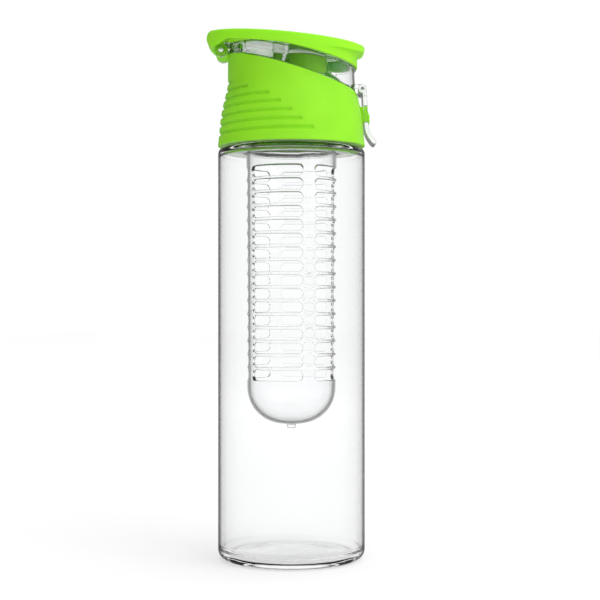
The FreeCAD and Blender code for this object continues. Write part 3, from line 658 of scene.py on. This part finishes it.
def make_bottle(wall, plain):
    """Clear bottle, whose upright outside has its own stronger painted edge shade, and the thread on its
    neck.
    """
    rings = lathe_rings(bottle_outside() + bottle_inside(), even_angles(BOTTLE_SEGMENTS))
    shell = mesh_object("bottle_shell", [ring_mesh(rings)], wall)
    plain_elsewhere(shell, plain, BODY_RADIUS - BODY_WALL / 2, BODY_RADIUS + BODY_WALL)
    thread = mesh_object("neck_thread", [neck_thread()], plain)
    for piece in (shell, thread):
        finished(piece, "bottle", "bottle_body")


# Basket
def basket_outside(z):
    """Outside radius of the slightly tapered basket at a height."""
    length = BASKET_LENGTH - BASKET_CORNER
    return BASKET_RADIUS - BASKET_DRAFT * min(1.0, (BASKET_TOP_Z - z) / length)


def slot_half_length():
    """Half the straight length of a slot's sides, measured along the basket's outside."""
    cell = 2 * math.pi * BASKET_RADIUS / SLOT_COLUMNS
    return (cell - POST_WIDTH - SLOT_HEIGHT) / 2


def slot_loop():
    """Points round one slot on the flat, each with its outward way and its partner on the cell's edge."""
    length = slot_half_length()
    radius = SLOT_HEIGHT / 2
    half_cell = math.pi * BASKET_RADIUS / SLOT_COLUMNS
    half_pitch = (SLOT_HEIGHT + RIB_HEIGHT) / 2
    edge = line_points((length, half_pitch), (half_cell, half_pitch), SLOT_CORNER_STEPS)
    edge += line_points((half_cell, half_pitch), (half_cell, -half_pitch), SLOT_SIDE_STEPS)
    edge += line_points((half_cell, -half_pitch), (length, -half_pitch), SLOT_CORNER_STEPS)
    half = []
    for along, _ in line_points((-length, 0), (length, 0), SLOT_STRAIGHT_STEPS):
        half.append(((along, radius), (0.0, 1.0), (along, half_pitch)))
    for k, partner in enumerate(edge):
        turn = math.pi * (0.5 - k / len(edge))
        way = (math.cos(turn), math.sin(turn))
        half.append(((length + radius * way[0], radius * way[1]), way, partner))
    return half + [tuple((-a, -b) for a, b in point) for point in half]


def slot_profile():
    """Steps through the wall at a slot: how far from the slot's edge, and how deep below the outside."""
    steps = []
    for i in range(ROUND_STEPS + 1):
        turn = 0.5 * math.pi * i / ROUND_STEPS
        steps.append((SLOT_EDGE_ROUND * (1 - math.sin(turn)), SLOT_EDGE_ROUND * (1 - math.cos(turn))))
    return steps + [(d, BASKET_WALL - depth) for d, depth in reversed(steps)]


def slot_cell(middle_angle, middle_z):
    """Skin of the wall round one slot: outside, rounded slot edge and inside."""
    loop = slot_loop()

    def place(along, up, depth):
        z = middle_z + up
        return on_axis(basket_outside(z) - depth, middle_angle + along / BASKET_RADIUS, z)

    rings = [[place(*edge, 0.0) for _, _, edge in loop]]
    for away, depth in slot_profile():
        rings.append([place(p[0] + n[0] * away, p[1] + n[1] * away, depth) for p, n, _ in loop])
    rings.append([place(*edge, BASKET_WALL) for _, _, edge in loop])
    return ring_mesh(rings)


def cell_angle(column):
    """Angle of the middle of a column of slots."""
    return math.radians(POST_TURN_DEG - 90 + (column + 0.5) * 360 / SLOT_COLUMNS)


def basket_angles():
    """Angles of the points along the cells' upper and lower edges, all the way round."""
    length = slot_half_length()
    half_cell = math.pi * BASKET_RADIUS / SLOT_COLUMNS
    along = line_points((-half_cell,), (-length,), SLOT_CORNER_STEPS)
    along += line_points((-length,), (length,), SLOT_STRAIGHT_STEPS)
    along += line_points((length,), (half_cell,), SLOT_CORNER_STEPS)
    return [cell_angle(c) + s / BASKET_RADIUS for c in range(SLOT_COLUMNS) for (s,) in along]


def basket_collar(low_z):
    """Outline of the smooth band above the slots, from its outside over the round top to its inside."""
    edge = SLOT_EDGE_ROUND
    outside = BASKET_RADIUS - edge
    inside = BASKET_RADIUS - BASKET_WALL + edge
    edge_z = BASKET_TOP_Z - edge
    outline = line_points((basket_outside(low_z), low_z), (BASKET_RADIUS, edge_z), COLLAR_STEPS)
    outline += arc_points((outside, edge_z), edge, 0, 90, BASKET_EDGE_STEPS)
    outline += arc_points((inside, edge_z), edge, 90, 180, BASKET_EDGE_STEPS)
    outline.append((basket_outside(low_z) - BASKET_WALL, low_z))
    return outline


def basket_cup(high_z):
    """Outlines of the round bottom: outside down to the nub, and inside."""
    bottom_z = BASKET_TOP_Z - BASKET_LENGTH
    bend_z = bottom_z + BASKET_CORNER
    low_radius = BASKET_RADIUS - BASKET_DRAFT
    flat = low_radius - BASKET_CORNER
    edge = SLOT_EDGE_ROUND
    outer = [(basket_outside(high_z), high_z)]
    outer += arc_points((flat, bend_z), BASKET_CORNER, 0, -90, CUP_STEPS)
    outer += arc_points((NUB_RADIUS + edge, bottom_z - edge), edge, 90, 180, BASKET_EDGE_STEPS)
    outer += arc_points((NUB_RADIUS - edge, NUB_Z + edge), edge, 0, -90, BASKET_EDGE_STEPS)
    outer.append((0.0, NUB_Z))
    inner = [(basket_outside(high_z) - BASKET_WALL, high_z)]
    inner += arc_points((flat, bend_z), BASKET_CORNER - BASKET_WALL, 0, -90, CUP_STEPS)
    inner.append((0.0, bottom_z + BASKET_WALL))
    return outer, inner


def make_basket(outside, inside):
    """Clear basket: rows of slots between upright posts, a smooth collar above and a round cup below."""
    pitch = SLOT_HEIGHT + RIB_HEIGHT
    first_z = BASKET_TOP_Z - SLOT_START - SLOT_HEIGHT / 2
    skins = []
    for row in range(SLOT_ROWS):
        for column in range(SLOT_COLUMNS):
            skins.append(slot_cell(cell_angle(column), first_z - row * pitch))
    angles = basket_angles()
    skins.append(ring_mesh(lathe_rings(basket_collar(first_z + pitch / 2), angles)))
    for outline in basket_cup(first_z - (SLOT_ROWS - 0.5) * pitch):
        skins.append(ring_mesh(lathe_rings(outline, angles)))
    basket = mesh_object("basket_shell", skins, outside)
    plain_inside(basket, inside, BASKET_TOP_Z - BASKET_LENGTH + BASKET_CORNER)
    finished(basket, "basket", "infuser_basket")


# Grip sleeve
def sleeve_radius(z):
    """Outside radius of the flared sleeve at a height, smooth through its knots."""
    rise = z - SLEEVE_FOOT_Z
    for (z0, r0, s0), (z1, r1, s1) in zip(SLEEVE_KNOTS, SLEEVE_KNOTS[1:]):
        if rise <= z1:
            span = z1 - z0
            t = (rise - z0) / span
            start = r0 * (1 + 2 * t) + s0 * span * t
            end = r1 * (3 - 2 * t) - s1 * span * (1 - t)
            return start * (1 - t) ** 2 + end * t**2
    return SLEEVE_KNOTS[-1][1]


def groove_depth(angle, z):
    """Depth of the grip grooves below the sleeve's surface, with soft lips and some skin left."""
    back = math.pi - abs(angle)
    deepest = min(GROOVE_DEPTH, sleeve_radius(z) - SLEEVE_BORE - GROOVE_SKIN)
    depth = 0.0
    for row, half_deg in enumerate(GROOVE_HALF_ANGLES_DEG):
        up = z - SLEEVE_FOOT_Z - GROOVE_START - row * GROOVE_PITCH
        past_end = max(0.0, back - math.radians(half_deg)) * sleeve_radius(z)
        away = min(1.0, math.hypot(up, past_end) / GROOVE_HALF_WIDTH)
        depth = max(depth, deepest * (1 - away**2) ** 2)
    return depth


def sleeve_heights():
    """Heights of the sleeve's rows of points: close together at the grooves, wider above them."""
    grooves_z = SLEEVE_FOOT_Z + GROOVE_START - GROOVE_PITCH / 2
    grooves_top = grooves_z + len(GROOVE_HALF_ANGLES_DEG) * GROOVE_PITCH
    rows = line_points((SLEEVE_FOOT_Z + SLEEVE_EDGE,), (grooves_z,), SLEEVE_FOOT_ROWS)[1:]
    rows += line_points((grooves_z,), (grooves_top,), len(GROOVE_HALF_ANGLES_DEG) * GROOVE_ROWS)
    rows += line_points((grooves_top,), (SLEEVE_TOP_Z,), SLEEVE_TOP_ROWS)
    return [z for (z,) in rows]


def rim_height(radius, angle):
    """Height of the lid's sloping rim at a radius and an angle."""
    return RIM_Z - RIM_SLOPE * radius * math.cos(angle)


def sleeve_column(angle, heights):
    """Points of the sleeve's outline at one angle, from the foot's inner edge round the outside."""
    edge = SLEEVE_EDGE
    inner = SLEEVE_INNER_EDGE
    foot = SLEEVE_KNOTS[0][1]
    bore_edge = (SLEEVE_BORE + inner, SLEEVE_FOOT_Z + inner)
    outline = arc_points(bore_edge, inner, 180, 270, SLEEVE_INNER_STEPS)
    outline += arc_points((foot - edge, SLEEVE_FOOT_Z + edge), edge, -90, 0, SLEEVE_EDGE_STEPS)
    top_radius = SLEEVE_KNOTS[-1][1]
    for _ in range(RIM_PASSES):
        top_radius = sleeve_radius(rim_height(top_radius, angle))
    top = rim_height(top_radius, angle) - edge
    for z in heights:
        height = min(z, top)
        outline.append((sleeve_radius(height) - groove_depth(angle, height), height))
    for inset, rise in arc_points((edge, -edge), edge, 180, 90, SLEEVE_EDGE_STEPS):
        radius = top_radius - inset
        outline.append((radius, rim_height(radius, angle) + rise))
    for inset, rise in arc_points((inner, -inner), inner, 90, 180, SLEEVE_INNER_STEPS):
        radius = SLEEVE_BORE + inset
        outline.append((radius, rim_height(radius, angle) + rise))
    return [on_axis(radius, angle, z) for radius, z in outline]


def hinge_lug_room():
    """Skins of the space in the sleeve's rim for the lid's hinge lug."""
    gap = SLEEVE_WINDOW_GAP
    half = LUG_HALF_WIDTH + gap
    radius = KNUCKLE_RADIUS + gap
    low = HINGE_Z - radius
    high = HINGE_Z - LUG_ROOT_DROP + KNUCKLE_RADIUS
    corners = [(HINGE_X, low), (LUG_ROOT_X, low), (LUG_ROOT_X, high), (HINGE_X, high)]
    knuckle = round_bar(HINGE_X, HINGE_Z, radius, -half, half, TOOL_EDGE)
    return [knuckle, prism(corners, -half, half, TOOL_EDGE)]


def catch_room():
    """Skin of the window in the sleeve for the catch."""
    low = LATCH_Z - LATCH_DROP + CATCH_UNDER_GAP - SLEEVE_WINDOW_GAP
    high = low + CATCH_HEIGHT + 2 * SLEEVE_WINDOW_GAP
    half = WINDOW_HALF_WIDTH - CATCH_SIDE_GAP + SLEEVE_WINDOW_GAP
    corners = [(half, low), (half, high), (-half, high), (-half, low)]
    return turned_to_x(prism(corners, -LUG_ROOT_X, LATCH_X + LATCH_THICKNESS, TOOL_EDGE))


def make_sleeve(material):
    """Soft-touch sleeve with its grip grooves, rounded rim and foot."""
    heights = sleeve_heights()
    columns = [sleeve_column(a - math.pi, heights) for a in even_angles(SLEEVE_SEGMENTS)]
    skin = ring_mesh([list(ring) for ring in zip(*columns)], joined=True)
    sleeve = combined("sleeve_form", skin, [], [*hinge_lug_room(), catch_room()], material)
    finished(sleeve, "lid", "grip_sleeve")


# Soft cover
def make_cover(material):
    """Soft cover: the solid with its edges rounded off, as it comes out of the mould."""
    work = new_object("cover_work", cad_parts["top_cover"].data.copy())
    remesh = work.modifiers.new("remesh", "REMESH")
    remesh.mode = "VOXEL"
    remesh.voxel_size = COVER_VOXEL
    smooth = work.modifiers.new("smooth", "SMOOTH")
    smooth.factor = COVER_SMOOTHING
    smooth.iterations = COVER_PASSES
    cover = with_modifiers("cover_form", work, material)
    finished(cover, "flip_top", "top_cover", ALL_SMOOTH_DEG)


# Flip-top dome
def dome_ring(plane_z, slope, inset):
    """Ring where a plane that falls towards +X cuts the dome's tapered wall, inset inwards."""
    ring = []
    at_plane = DOME_RADIUS - inset - DOME_TAPER * (plane_z - RIM_Z)
    for angle in even_angles(DOME_SEGMENTS):
        radius = at_plane / (1 - DOME_TAPER * slope * math.cos(angle))
        ring.append(on_axis(radius, angle, plane_z - slope * radius * math.cos(angle)))
    return ring


def ledge_ring(plane_z, inset):
    """Ring on the round ledge under the cover's edge, inset inwards."""
    radius = DOME_RADIUS + LEDGE_STAND - inset
    ring = []
    for angle in even_angles(DOME_SEGMENTS):
        ring.append(on_axis(radius, angle, plane_z - COVER_EDGE_SLOPE * radius * math.cos(angle)))
    return ring


def wall_rings(low, high, inset):
    """Rings along the dome's wall between two (height, slope) planes, with both ends left out."""
    rings = []
    for plane_z, slope in line_points(low, high, DOME_WALL_STEPS)[1:]:
        rings.append(dome_ring(plane_z, slope, inset))
    return rings


def dome_outside():
    """Skin of the dome's outside: rounded rim, ledge under the cover's edge, roof and flat bottom."""
    foot = RIM_Z + DOME_GAP
    ledge_top = ROOF_Z - COVER_EDGE_DROP - LEDGE_GAP
    ledge_low = ledge_top - LEDGE_HEIGHT
    edge = DOME_EDGE
    rings = [[Vector((0, 0, foot))]]
    for inset, rise in arc_points((edge, edge), edge, 270, 180, DOME_EDGE_STEPS):
        rings.append(dome_ring(foot + rise, RIM_SLOPE, inset))
    rings += wall_rings((foot + edge, RIM_SLOPE), (ledge_low, COVER_EDGE_SLOPE), 0.0)
    rings.append(dome_ring(ledge_low, COVER_EDGE_SLOPE, 0.0))
    for inset, rise in arc_points((LEDGE_EDGE, LEDGE_EDGE), LEDGE_EDGE, 270, 180, DOME_EDGE_STEPS):
        rings.append(ledge_ring(ledge_low + rise, inset))
    for inset, rise in arc_points((LEDGE_EDGE, -LEDGE_EDGE), LEDGE_EDGE, 180, 90, DOME_EDGE_STEPS):
        rings.append(ledge_ring(ledge_top + rise, inset))
    rings.append(dome_ring(ledge_top, COVER_EDGE_SLOPE, COVER_FIT))
    rings.append(dome_ring(ROOF_Z - COVER_FIT, ROOF_SLOPE, COVER_FIT))
    rings.append([Vector((0, 0, ROOF_Z - COVER_FIT))])
    return ring_mesh(rings)


def dome_inside():
    """Skin of the space inside the dome, flared at the rim and run on below it."""
    roof = ROOF_Z - DOME_WALL / math.cos(ROOF_TILT)
    foot = RIM_Z + DOME_GAP
    edge = DOME_EDGE
    rings = [[Vector((0, 0, foot - DOME_WALL))]]
    rings.append(dome_ring(foot - DOME_WALL, RIM_SLOPE, DOME_WALL - edge))
    for inset, rise in arc_points((DOME_WALL - edge, edge), edge, -DOME_FLARE_DEG, 0, DOME_EDGE_STEPS):
        rings.append(dome_ring(foot + rise, RIM_SLOPE, inset))
    rings += wall_rings((foot + edge, RIM_SLOPE), (roof - DOME_FILLET, ROOF_SLOPE), DOME_WALL)
    fillet = (DOME_WALL + DOME_FILLET, -DOME_FILLET)
    for inset, rise in arc_points(fillet, DOME_FILLET, 180, 90, DOME_FILLET_STEPS):
        rings.append(dome_ring(roof + rise, ROOF_SLOPE, inset))
    rings.append([Vector((0, 0, roof))])
    return ring_mesh(rings)


def hinge_ear():
    """Skin of one clear hinge ear: a round end on the pin and a bridge to the dome's back wall."""
    side_deg = math.degrees(math.asin(EAR_ROOT_RISE / KNUCKLE_RADIUS))
    root = HINGE_X + EAR_ROOT
    outline = [(root, HINGE_Z + EAR_ROOT_RISE), (root, HINGE_Z + KNUCKLE_RADIUS)]
    outline += arc_points((HINGE_X, HINGE_Z), KNUCKLE_RADIUS, 90, 360 + side_deg, KNUCKLE_STEPS)
    inner = LUG_HALF_WIDTH + KNUCKLE_GAP
    return prism(outline, inner, inner + EAR_WIDTH, DOME_EDGE)


def latch_ear():
    """Skin of one small ear on the dome's front that carries the latch's pin."""
    inner = LATCH_HALF_WIDTH + LATCH_SIDE_GAP
    outer = inner + LATCH_EAR_WIDTH
    wall_radius = DOME_RADIUS - DOME_TAPER * (LATCH_Z - RIM_Z)
    root = math.sqrt(wall_radius**2 - outer**2) - DOME_WALL / 2
    top = LATCH_Z + LATCH_THICKNESS
    root_low = max(LATCH_Z, RIM_Z + DOME_GAP - RIM_SLOPE * root + TOOL_EDGE)
    outline = [(root, top), (root, root_low)]
    outline += arc_points((LATCH_X, LATCH_Z), LATCH_THICKNESS, 180, 450, KNUCKLE_STEPS)
    return prism(outline, inner, outer, DOME_EDGE)


def side_boss():
    """Skin of one round boss on the dome's side, near the hinge."""
    z = RIM_Z - RIM_SLOPE * BOSS_X + BOSS_RISE
    wall = math.sqrt((DOME_RADIUS - DOME_TAPER * (z - RIM_Z)) ** 2 - BOSS_X**2)
    return round_bar(BOSS_X, z, BOSS_RADIUS, wall - BOSS_ROOT, wall + BOSS_STAND, LEDGE_EDGE)


def make_dome(wall, plain):
    """Clear dome with its hinge ears, latch ears and side bosses."""
    added = mirrored(hinge_ear()) + mirrored(latch_ear()) + mirrored(side_boss())
    room = LUG_HALF_WIDTH + KNUCKLE_GAP
    pin = room + EAR_WIDTH - PIN_COVER + PIN_CLEARANCE
    latch_pin = LATCH_HALF_WIDTH + LATCH_SIDE_GAP + 2 * LATCH_EAR_WIDTH
    removed = [
        dome_inside(),
        round_bar(HINGE_X, HINGE_Z, KNUCKLE_RADIUS + KNUCKLE_GAP, -room, room, TOOL_EDGE),
        round_bar(HINGE_X, HINGE_Z, HINGE_PIN_RADIUS + PIN_CLEARANCE, -pin, pin, TOOL_EDGE),
        round_bar(LATCH_X, LATCH_Z, LATCH_PIN_RADIUS + PIN_CLEARANCE, -latch_pin, latch_pin, TOOL_EDGE),
    ]
    dome = combined("dome_form", dome_outside(), added, removed, wall)
    plain_elsewhere(dome, plain, DOME_RADIUS - DOME_WALL, DOME_RADIUS + LEDGE_WALL_SHARE * LEDGE_STAND)
    finished(dome, "flip_top", "flip_dome", CLEAR_SHARP_DEG)
    dome.visible_shadow = False


# Front latch
def latch_outline():
    """Side outline of the latch: knuckle, plate, and flared finger tail."""
    thick = LATCH_THICKNESS
    knee_z = LATCH_Z - LATCH_DROP
    knee = sleeve_radius(knee_z) + LATCH_GAP
    centre = (knee + thick + TAIL_RADIUS, knee_z)
    end_deg = 180 + TAIL_BEND_DEG
    tip = arc_points(centre, TAIL_RADIUS + thick / 2, end_deg, end_deg, 1)[0]
    plate_deg = math.degrees(math.atan2(-LATCH_DROP, knee - LATCH_X)) % 360
    outline = arc_points((LATCH_X, LATCH_Z), thick, 0, plate_deg, KNUCKLE_STEPS)
    outline += line_points(outline[-1], (knee, knee_z), PLATE_STEPS)[1:]
    outline += arc_points(centre, TAIL_RADIUS + thick, 180, end_deg, TAIL_STEPS)
    outline += arc_points(tip, thick / 2, end_deg, end_deg + 180, TIP_STEPS)[1:-1]
    outline += arc_points(centre, TAIL_RADIUS, end_deg, 180, TAIL_STEPS)
    outline += line_points((knee + thick, knee_z), (LATCH_X + thick, LATCH_Z), PLATE_STEPS)[1:]
    return outline


def latch_window():
    """Skin of the window through the latch's plate, with rounded corners."""
    low = LATCH_Z - LATCH_DROP + WINDOW_CORNER
    high = low + WINDOW_HEIGHT - 2 * WINDOW_CORNER
    side = WINDOW_HALF_WIDTH - WINDOW_CORNER
    outline = []
    for y, z, start_deg in ((side, low, -90), (side, high, 0), (-side, high, 90), (-side, low, 180)):
        outline += arc_points((y, z), WINDOW_CORNER, start_deg, start_deg + 90, WINDOW_STEPS)
    behind = LATCH_X - 2 * LATCH_THICKNESS
    before = LATCH_X + 4 * LATCH_THICKNESS
    return turned_to_x(prism(outline, behind, before, TOOL_EDGE))


def make_latch(material):
    """Clear latch plate with its window and the bore of its pin."""
    half = LATCH_HALF_WIDTH
    skin = prism(latch_outline(), -half, half, LATCH_EDGE)
    reach = half + LATCH_SIDE_GAP
    bore = round_bar(LATCH_X, LATCH_Z, LATCH_PIN_RADIUS + PIN_CLEARANCE, -reach, reach, TOOL_EDGE)
    latch = combined("latch_form", skin, [], [latch_window(), bore], material)
    finished(latch, "latch", "front_latch", CLEAR_SHARP_DEG)
    latch.visible_shadow = False


# Inner pieces
def make_refined(node, body, material, edge):
    """Solid shown with its own shape, and its sharp edges rounded off."""
    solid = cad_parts[node].data
    skin = ([v.co.copy() for v in solid.vertices], [list(p.vertices) for p in solid.polygons])
    piece = mesh_object(node + "_form", [skin], material)
    work = bmesh.new()
    work.from_mesh(piece.data)
    bmesh.ops.dissolve_limit(work, angle_limit=math.radians(FLAT_DEG), verts=work.verts, edges=work.edges)
    sharp = [e for e in work.edges if e.is_manifold and e.calc_face_angle() > math.radians(SHARP_DEG)]
    bmesh.ops.bevel(
        work,
        geom=sharp,
        offset=edge,
        segments=EDGE_SEGMENTS,
        profile=0.5,
        affect="EDGES",
        clamp_overlap=True,
    )
    work.to_mesh(piece.data)
    work.free()
    finished(piece, body, node, SMALL_SHARP_DEG)


# Stage
def place_stage(name, points, faces, material):
    """Object for the stage, from points, faces and a material."""
    mesh = bpy.data.meshes.new(name)
    mesh.from_pydata(points, [], faces)
    mesh.materials.append(material)
    made = new_object(name, mesh)
    return made


def make_floor():
    """Wide pale floor that glows a little more away from the bottle."""
    material, tree, shader = new_material("floor")
    place = tree.nodes.new("ShaderNodeTexCoord")
    reach = tree.nodes.new("ShaderNodeVectorMath")
    reach.operation = "LENGTH"
    tree.links.new(place.outputs["Object"], reach.inputs[0])
    feed(tree, shader, {
        "Base Color": tint(tree, noise(tree, scale=3.0), (0.49, 0.49, 0.49), (0.51, 0.51, 0.51)),
        "Emission Strength": map_range(tree, reach.outputs["Value"], FLOOR_GLOW_REACH, FLOOR_GLOW),
    })
    set_values(shader, {
        "Roughness": 0.7,
        "Specular IOR Level": 0.2,
        "Emission Color": (1.0, 1.0, 1.0, 1.0),
    })
    side = FLOOR_HALF_SIDE
    z = -FLOOR_SINK
    corners = [(-side, -side, z), (side, -side, z), (side, side, z), (-side, side, z)]
    floor = place_stage("floor", corners, [(0, 1, 2, 3)], material)
    floor.visible_glossy = False


def make_backdrop():
    """White round backdrop, seen behind and through the clear plastic from every side."""
    material, tree, shader = new_material("backdrop")
    white = tint(tree, noise(tree, scale=0.5), (1.0, 1.0, 1.0), (1.02, 1.02, 1.02))
    feed(tree, shader, {"Emission Color": white})
    set_values(shader, {
        "Base Color": (0.0, 0.0, 0.0, 1.0),
        "Specular IOR Level": 0.0,
        "Emission Strength": 1.0,
    })
    material.cycles.emission_sampling = "NONE"
    outline = arc_points((0.0, 0.0), BACKDROP_RADIUS, -BACKDROP_DIP_DEG, 90, BACKDROP_STEPS)[:-1]
    outline.append((0.0, BACKDROP_RADIUS))
    points, faces = ring_mesh(lathe_rings(outline, even_angles(BACKDROP_SEGMENTS)))
    backdrop = place_stage("backdrop", points, faces, material)
    backdrop.visible_diffuse = False
    backdrop.visible_glossy = False
    backdrop.visible_shadow = False


def make_light(name, place, aim, size, power, in_gloss):
    """Large soft box aimed at a point."""
    lamp = bpy.data.lights.new(name, "AREA")
    lamp.size = size
    lamp.energy = power
    light = new_object(name, lamp)
    light.location = place
    light.rotation_euler = (Vector(aim) - Vector(place)).to_track_quat("-Z", "Y").to_euler()
    light.visible_camera = False
    light.visible_glossy = in_gloss


def make_world():
    """Soft white surroundings that fall off towards the left, and are dimmer in reflections."""
    world = bpy.data.worlds.new("studio")
    world.use_nodes = True
    tree = world.node_tree
    way = tree.nodes.new("ShaderNodeTexCoord")
    split = tree.nodes.new("ShaderNodeSeparateXYZ")
    path = tree.nodes.new("ShaderNodeLightPath")
    feed(tree, split, {"Vector": way.outputs["Generated"]})
    across = map_range(tree, split.outputs["X"], (-1.0, 1.0), (0.0, 1.0))
    stops = [(place, (shade, shade, shade)) for place, shade in WORLD_SHADES]
    feed(tree, tree.nodes["Background"], {
        "Color": ramp(tree, across, stops),
        "Strength": map_range(tree, path.outputs["Is Glossy Ray"], (0.0, 1.0), (1.0, WORLD_IN_GLOSS)),
    })
    bpy.context.scene.world = world


def make_camera():
    """Camera level with the middle of the bottle, looking straight ahead."""
    data = bpy.data.cameras.new("camera")
    data.sensor_fit = "HORIZONTAL"
    data.angle = 2 * math.atan(HALF_FRAME_PIXELS / FOCAL_PIXELS)
    camera = new_object("camera", data)
    camera.location = EYE
    camera.rotation_euler = (math.pi / 2, 0, 0)
    bpy.context.scene.camera = camera


def set_render():
    """Plain colour handling, and enough bounces for light through many clear walls."""
    scene = bpy.context.scene
    scene.view_settings.view_transform = "Standard"
    scene.cycles.max_bounces = CLEAR_BOUNCES
    scene.cycles.transmission_bounces = CLEAR_BOUNCES
    scene.cycles.glossy_bounces = GLOSS_BOUNCES
    scene.cycles.use_denoising = True


def main():
    """Builds the scene."""
    # Clear plastics with painted edge shade: strongest on upright outsides, basket and latch, weaker on
    # plain faces
    clear_wall = clear_plastic("clear_wall", WALL_PAINTED_EDGE, roughness=0.03, mirror=0.5)
    clear_plain = clear_plastic("clear_plain", PLAIN_PAINTED_EDGE, roughness=0.03, mirror=0.5)
    dome_wall = clear_plastic("dome_wall", WALL_PAINTED_EDGE, roughness=0.03, mirror=0.25)
    dome_plain = clear_plastic("dome_plain", PLAIN_PAINTED_EDGE, roughness=0.03, mirror=0.25)
    clear_basket = clear_plastic("clear_basket", BASKET_PAINTED_EDGE, roughness=0.05, mirror=0.25)
    clear_latch = clear_plastic("clear_latch", LATCH_PAINTED_EDGE, roughness=0.05, mirror=0.5)
    sleeve = green_plastic("sleeve_skin", *LIME, roughness=0.42, gloss=0.4, glow=0.15)
    # The cover's lime is painted lighter, standing in for the brighter light on the lid
    cover = green_plastic("cover_skin", *LIME_PAINTED_LIGHTER, roughness=0.40, gloss=0.4, glow=0.5)
    core = green_plastic("lid_plastic", *LIME_PAINTED_LIGHTER, roughness=0.40, gloss=0.15, glow=0.3)
    rubber = silicone()
    metal = steel()

    make_bottle(clear_wall, clear_plain)
    make_basket(clear_basket, clear_plain)
    make_sleeve(sleeve)
    make_cover(cover)
    make_dome(dome_wall, dome_plain)
    make_latch(clear_latch)
    for node in ("lid_core", "spout_deck"):
        make_refined(node, "lid", core, LID_EDGE)
    make_refined("basket_o_ring", "lid", rubber, RUBBER_EDGE)
    make_refined("lid_gasket", "gasket", rubber, RUBBER_EDGE)
    for node in ("spout_seal", "vent_seal"):
        make_refined(node, "flip_top", rubber, RUBBER_EDGE)
    for node in ("hinge_pin", "latch_pin"):
        make_refined(node, "flip_top", metal, PIN_EDGE)

    make_floor()
    make_backdrop()
    make_light("key", place=(0.9, -0.7, 0.75), aim=(0, 0, 0.22), size=1.1, power=5.6, in_gloss=False)
    make_light("top", place=(0.1, 0.0, 1.3), aim=(0, 0, 0.1), size=1.2, power=4.0, in_gloss=True)
    make_world()
    make_camera()
    set_render()


main()
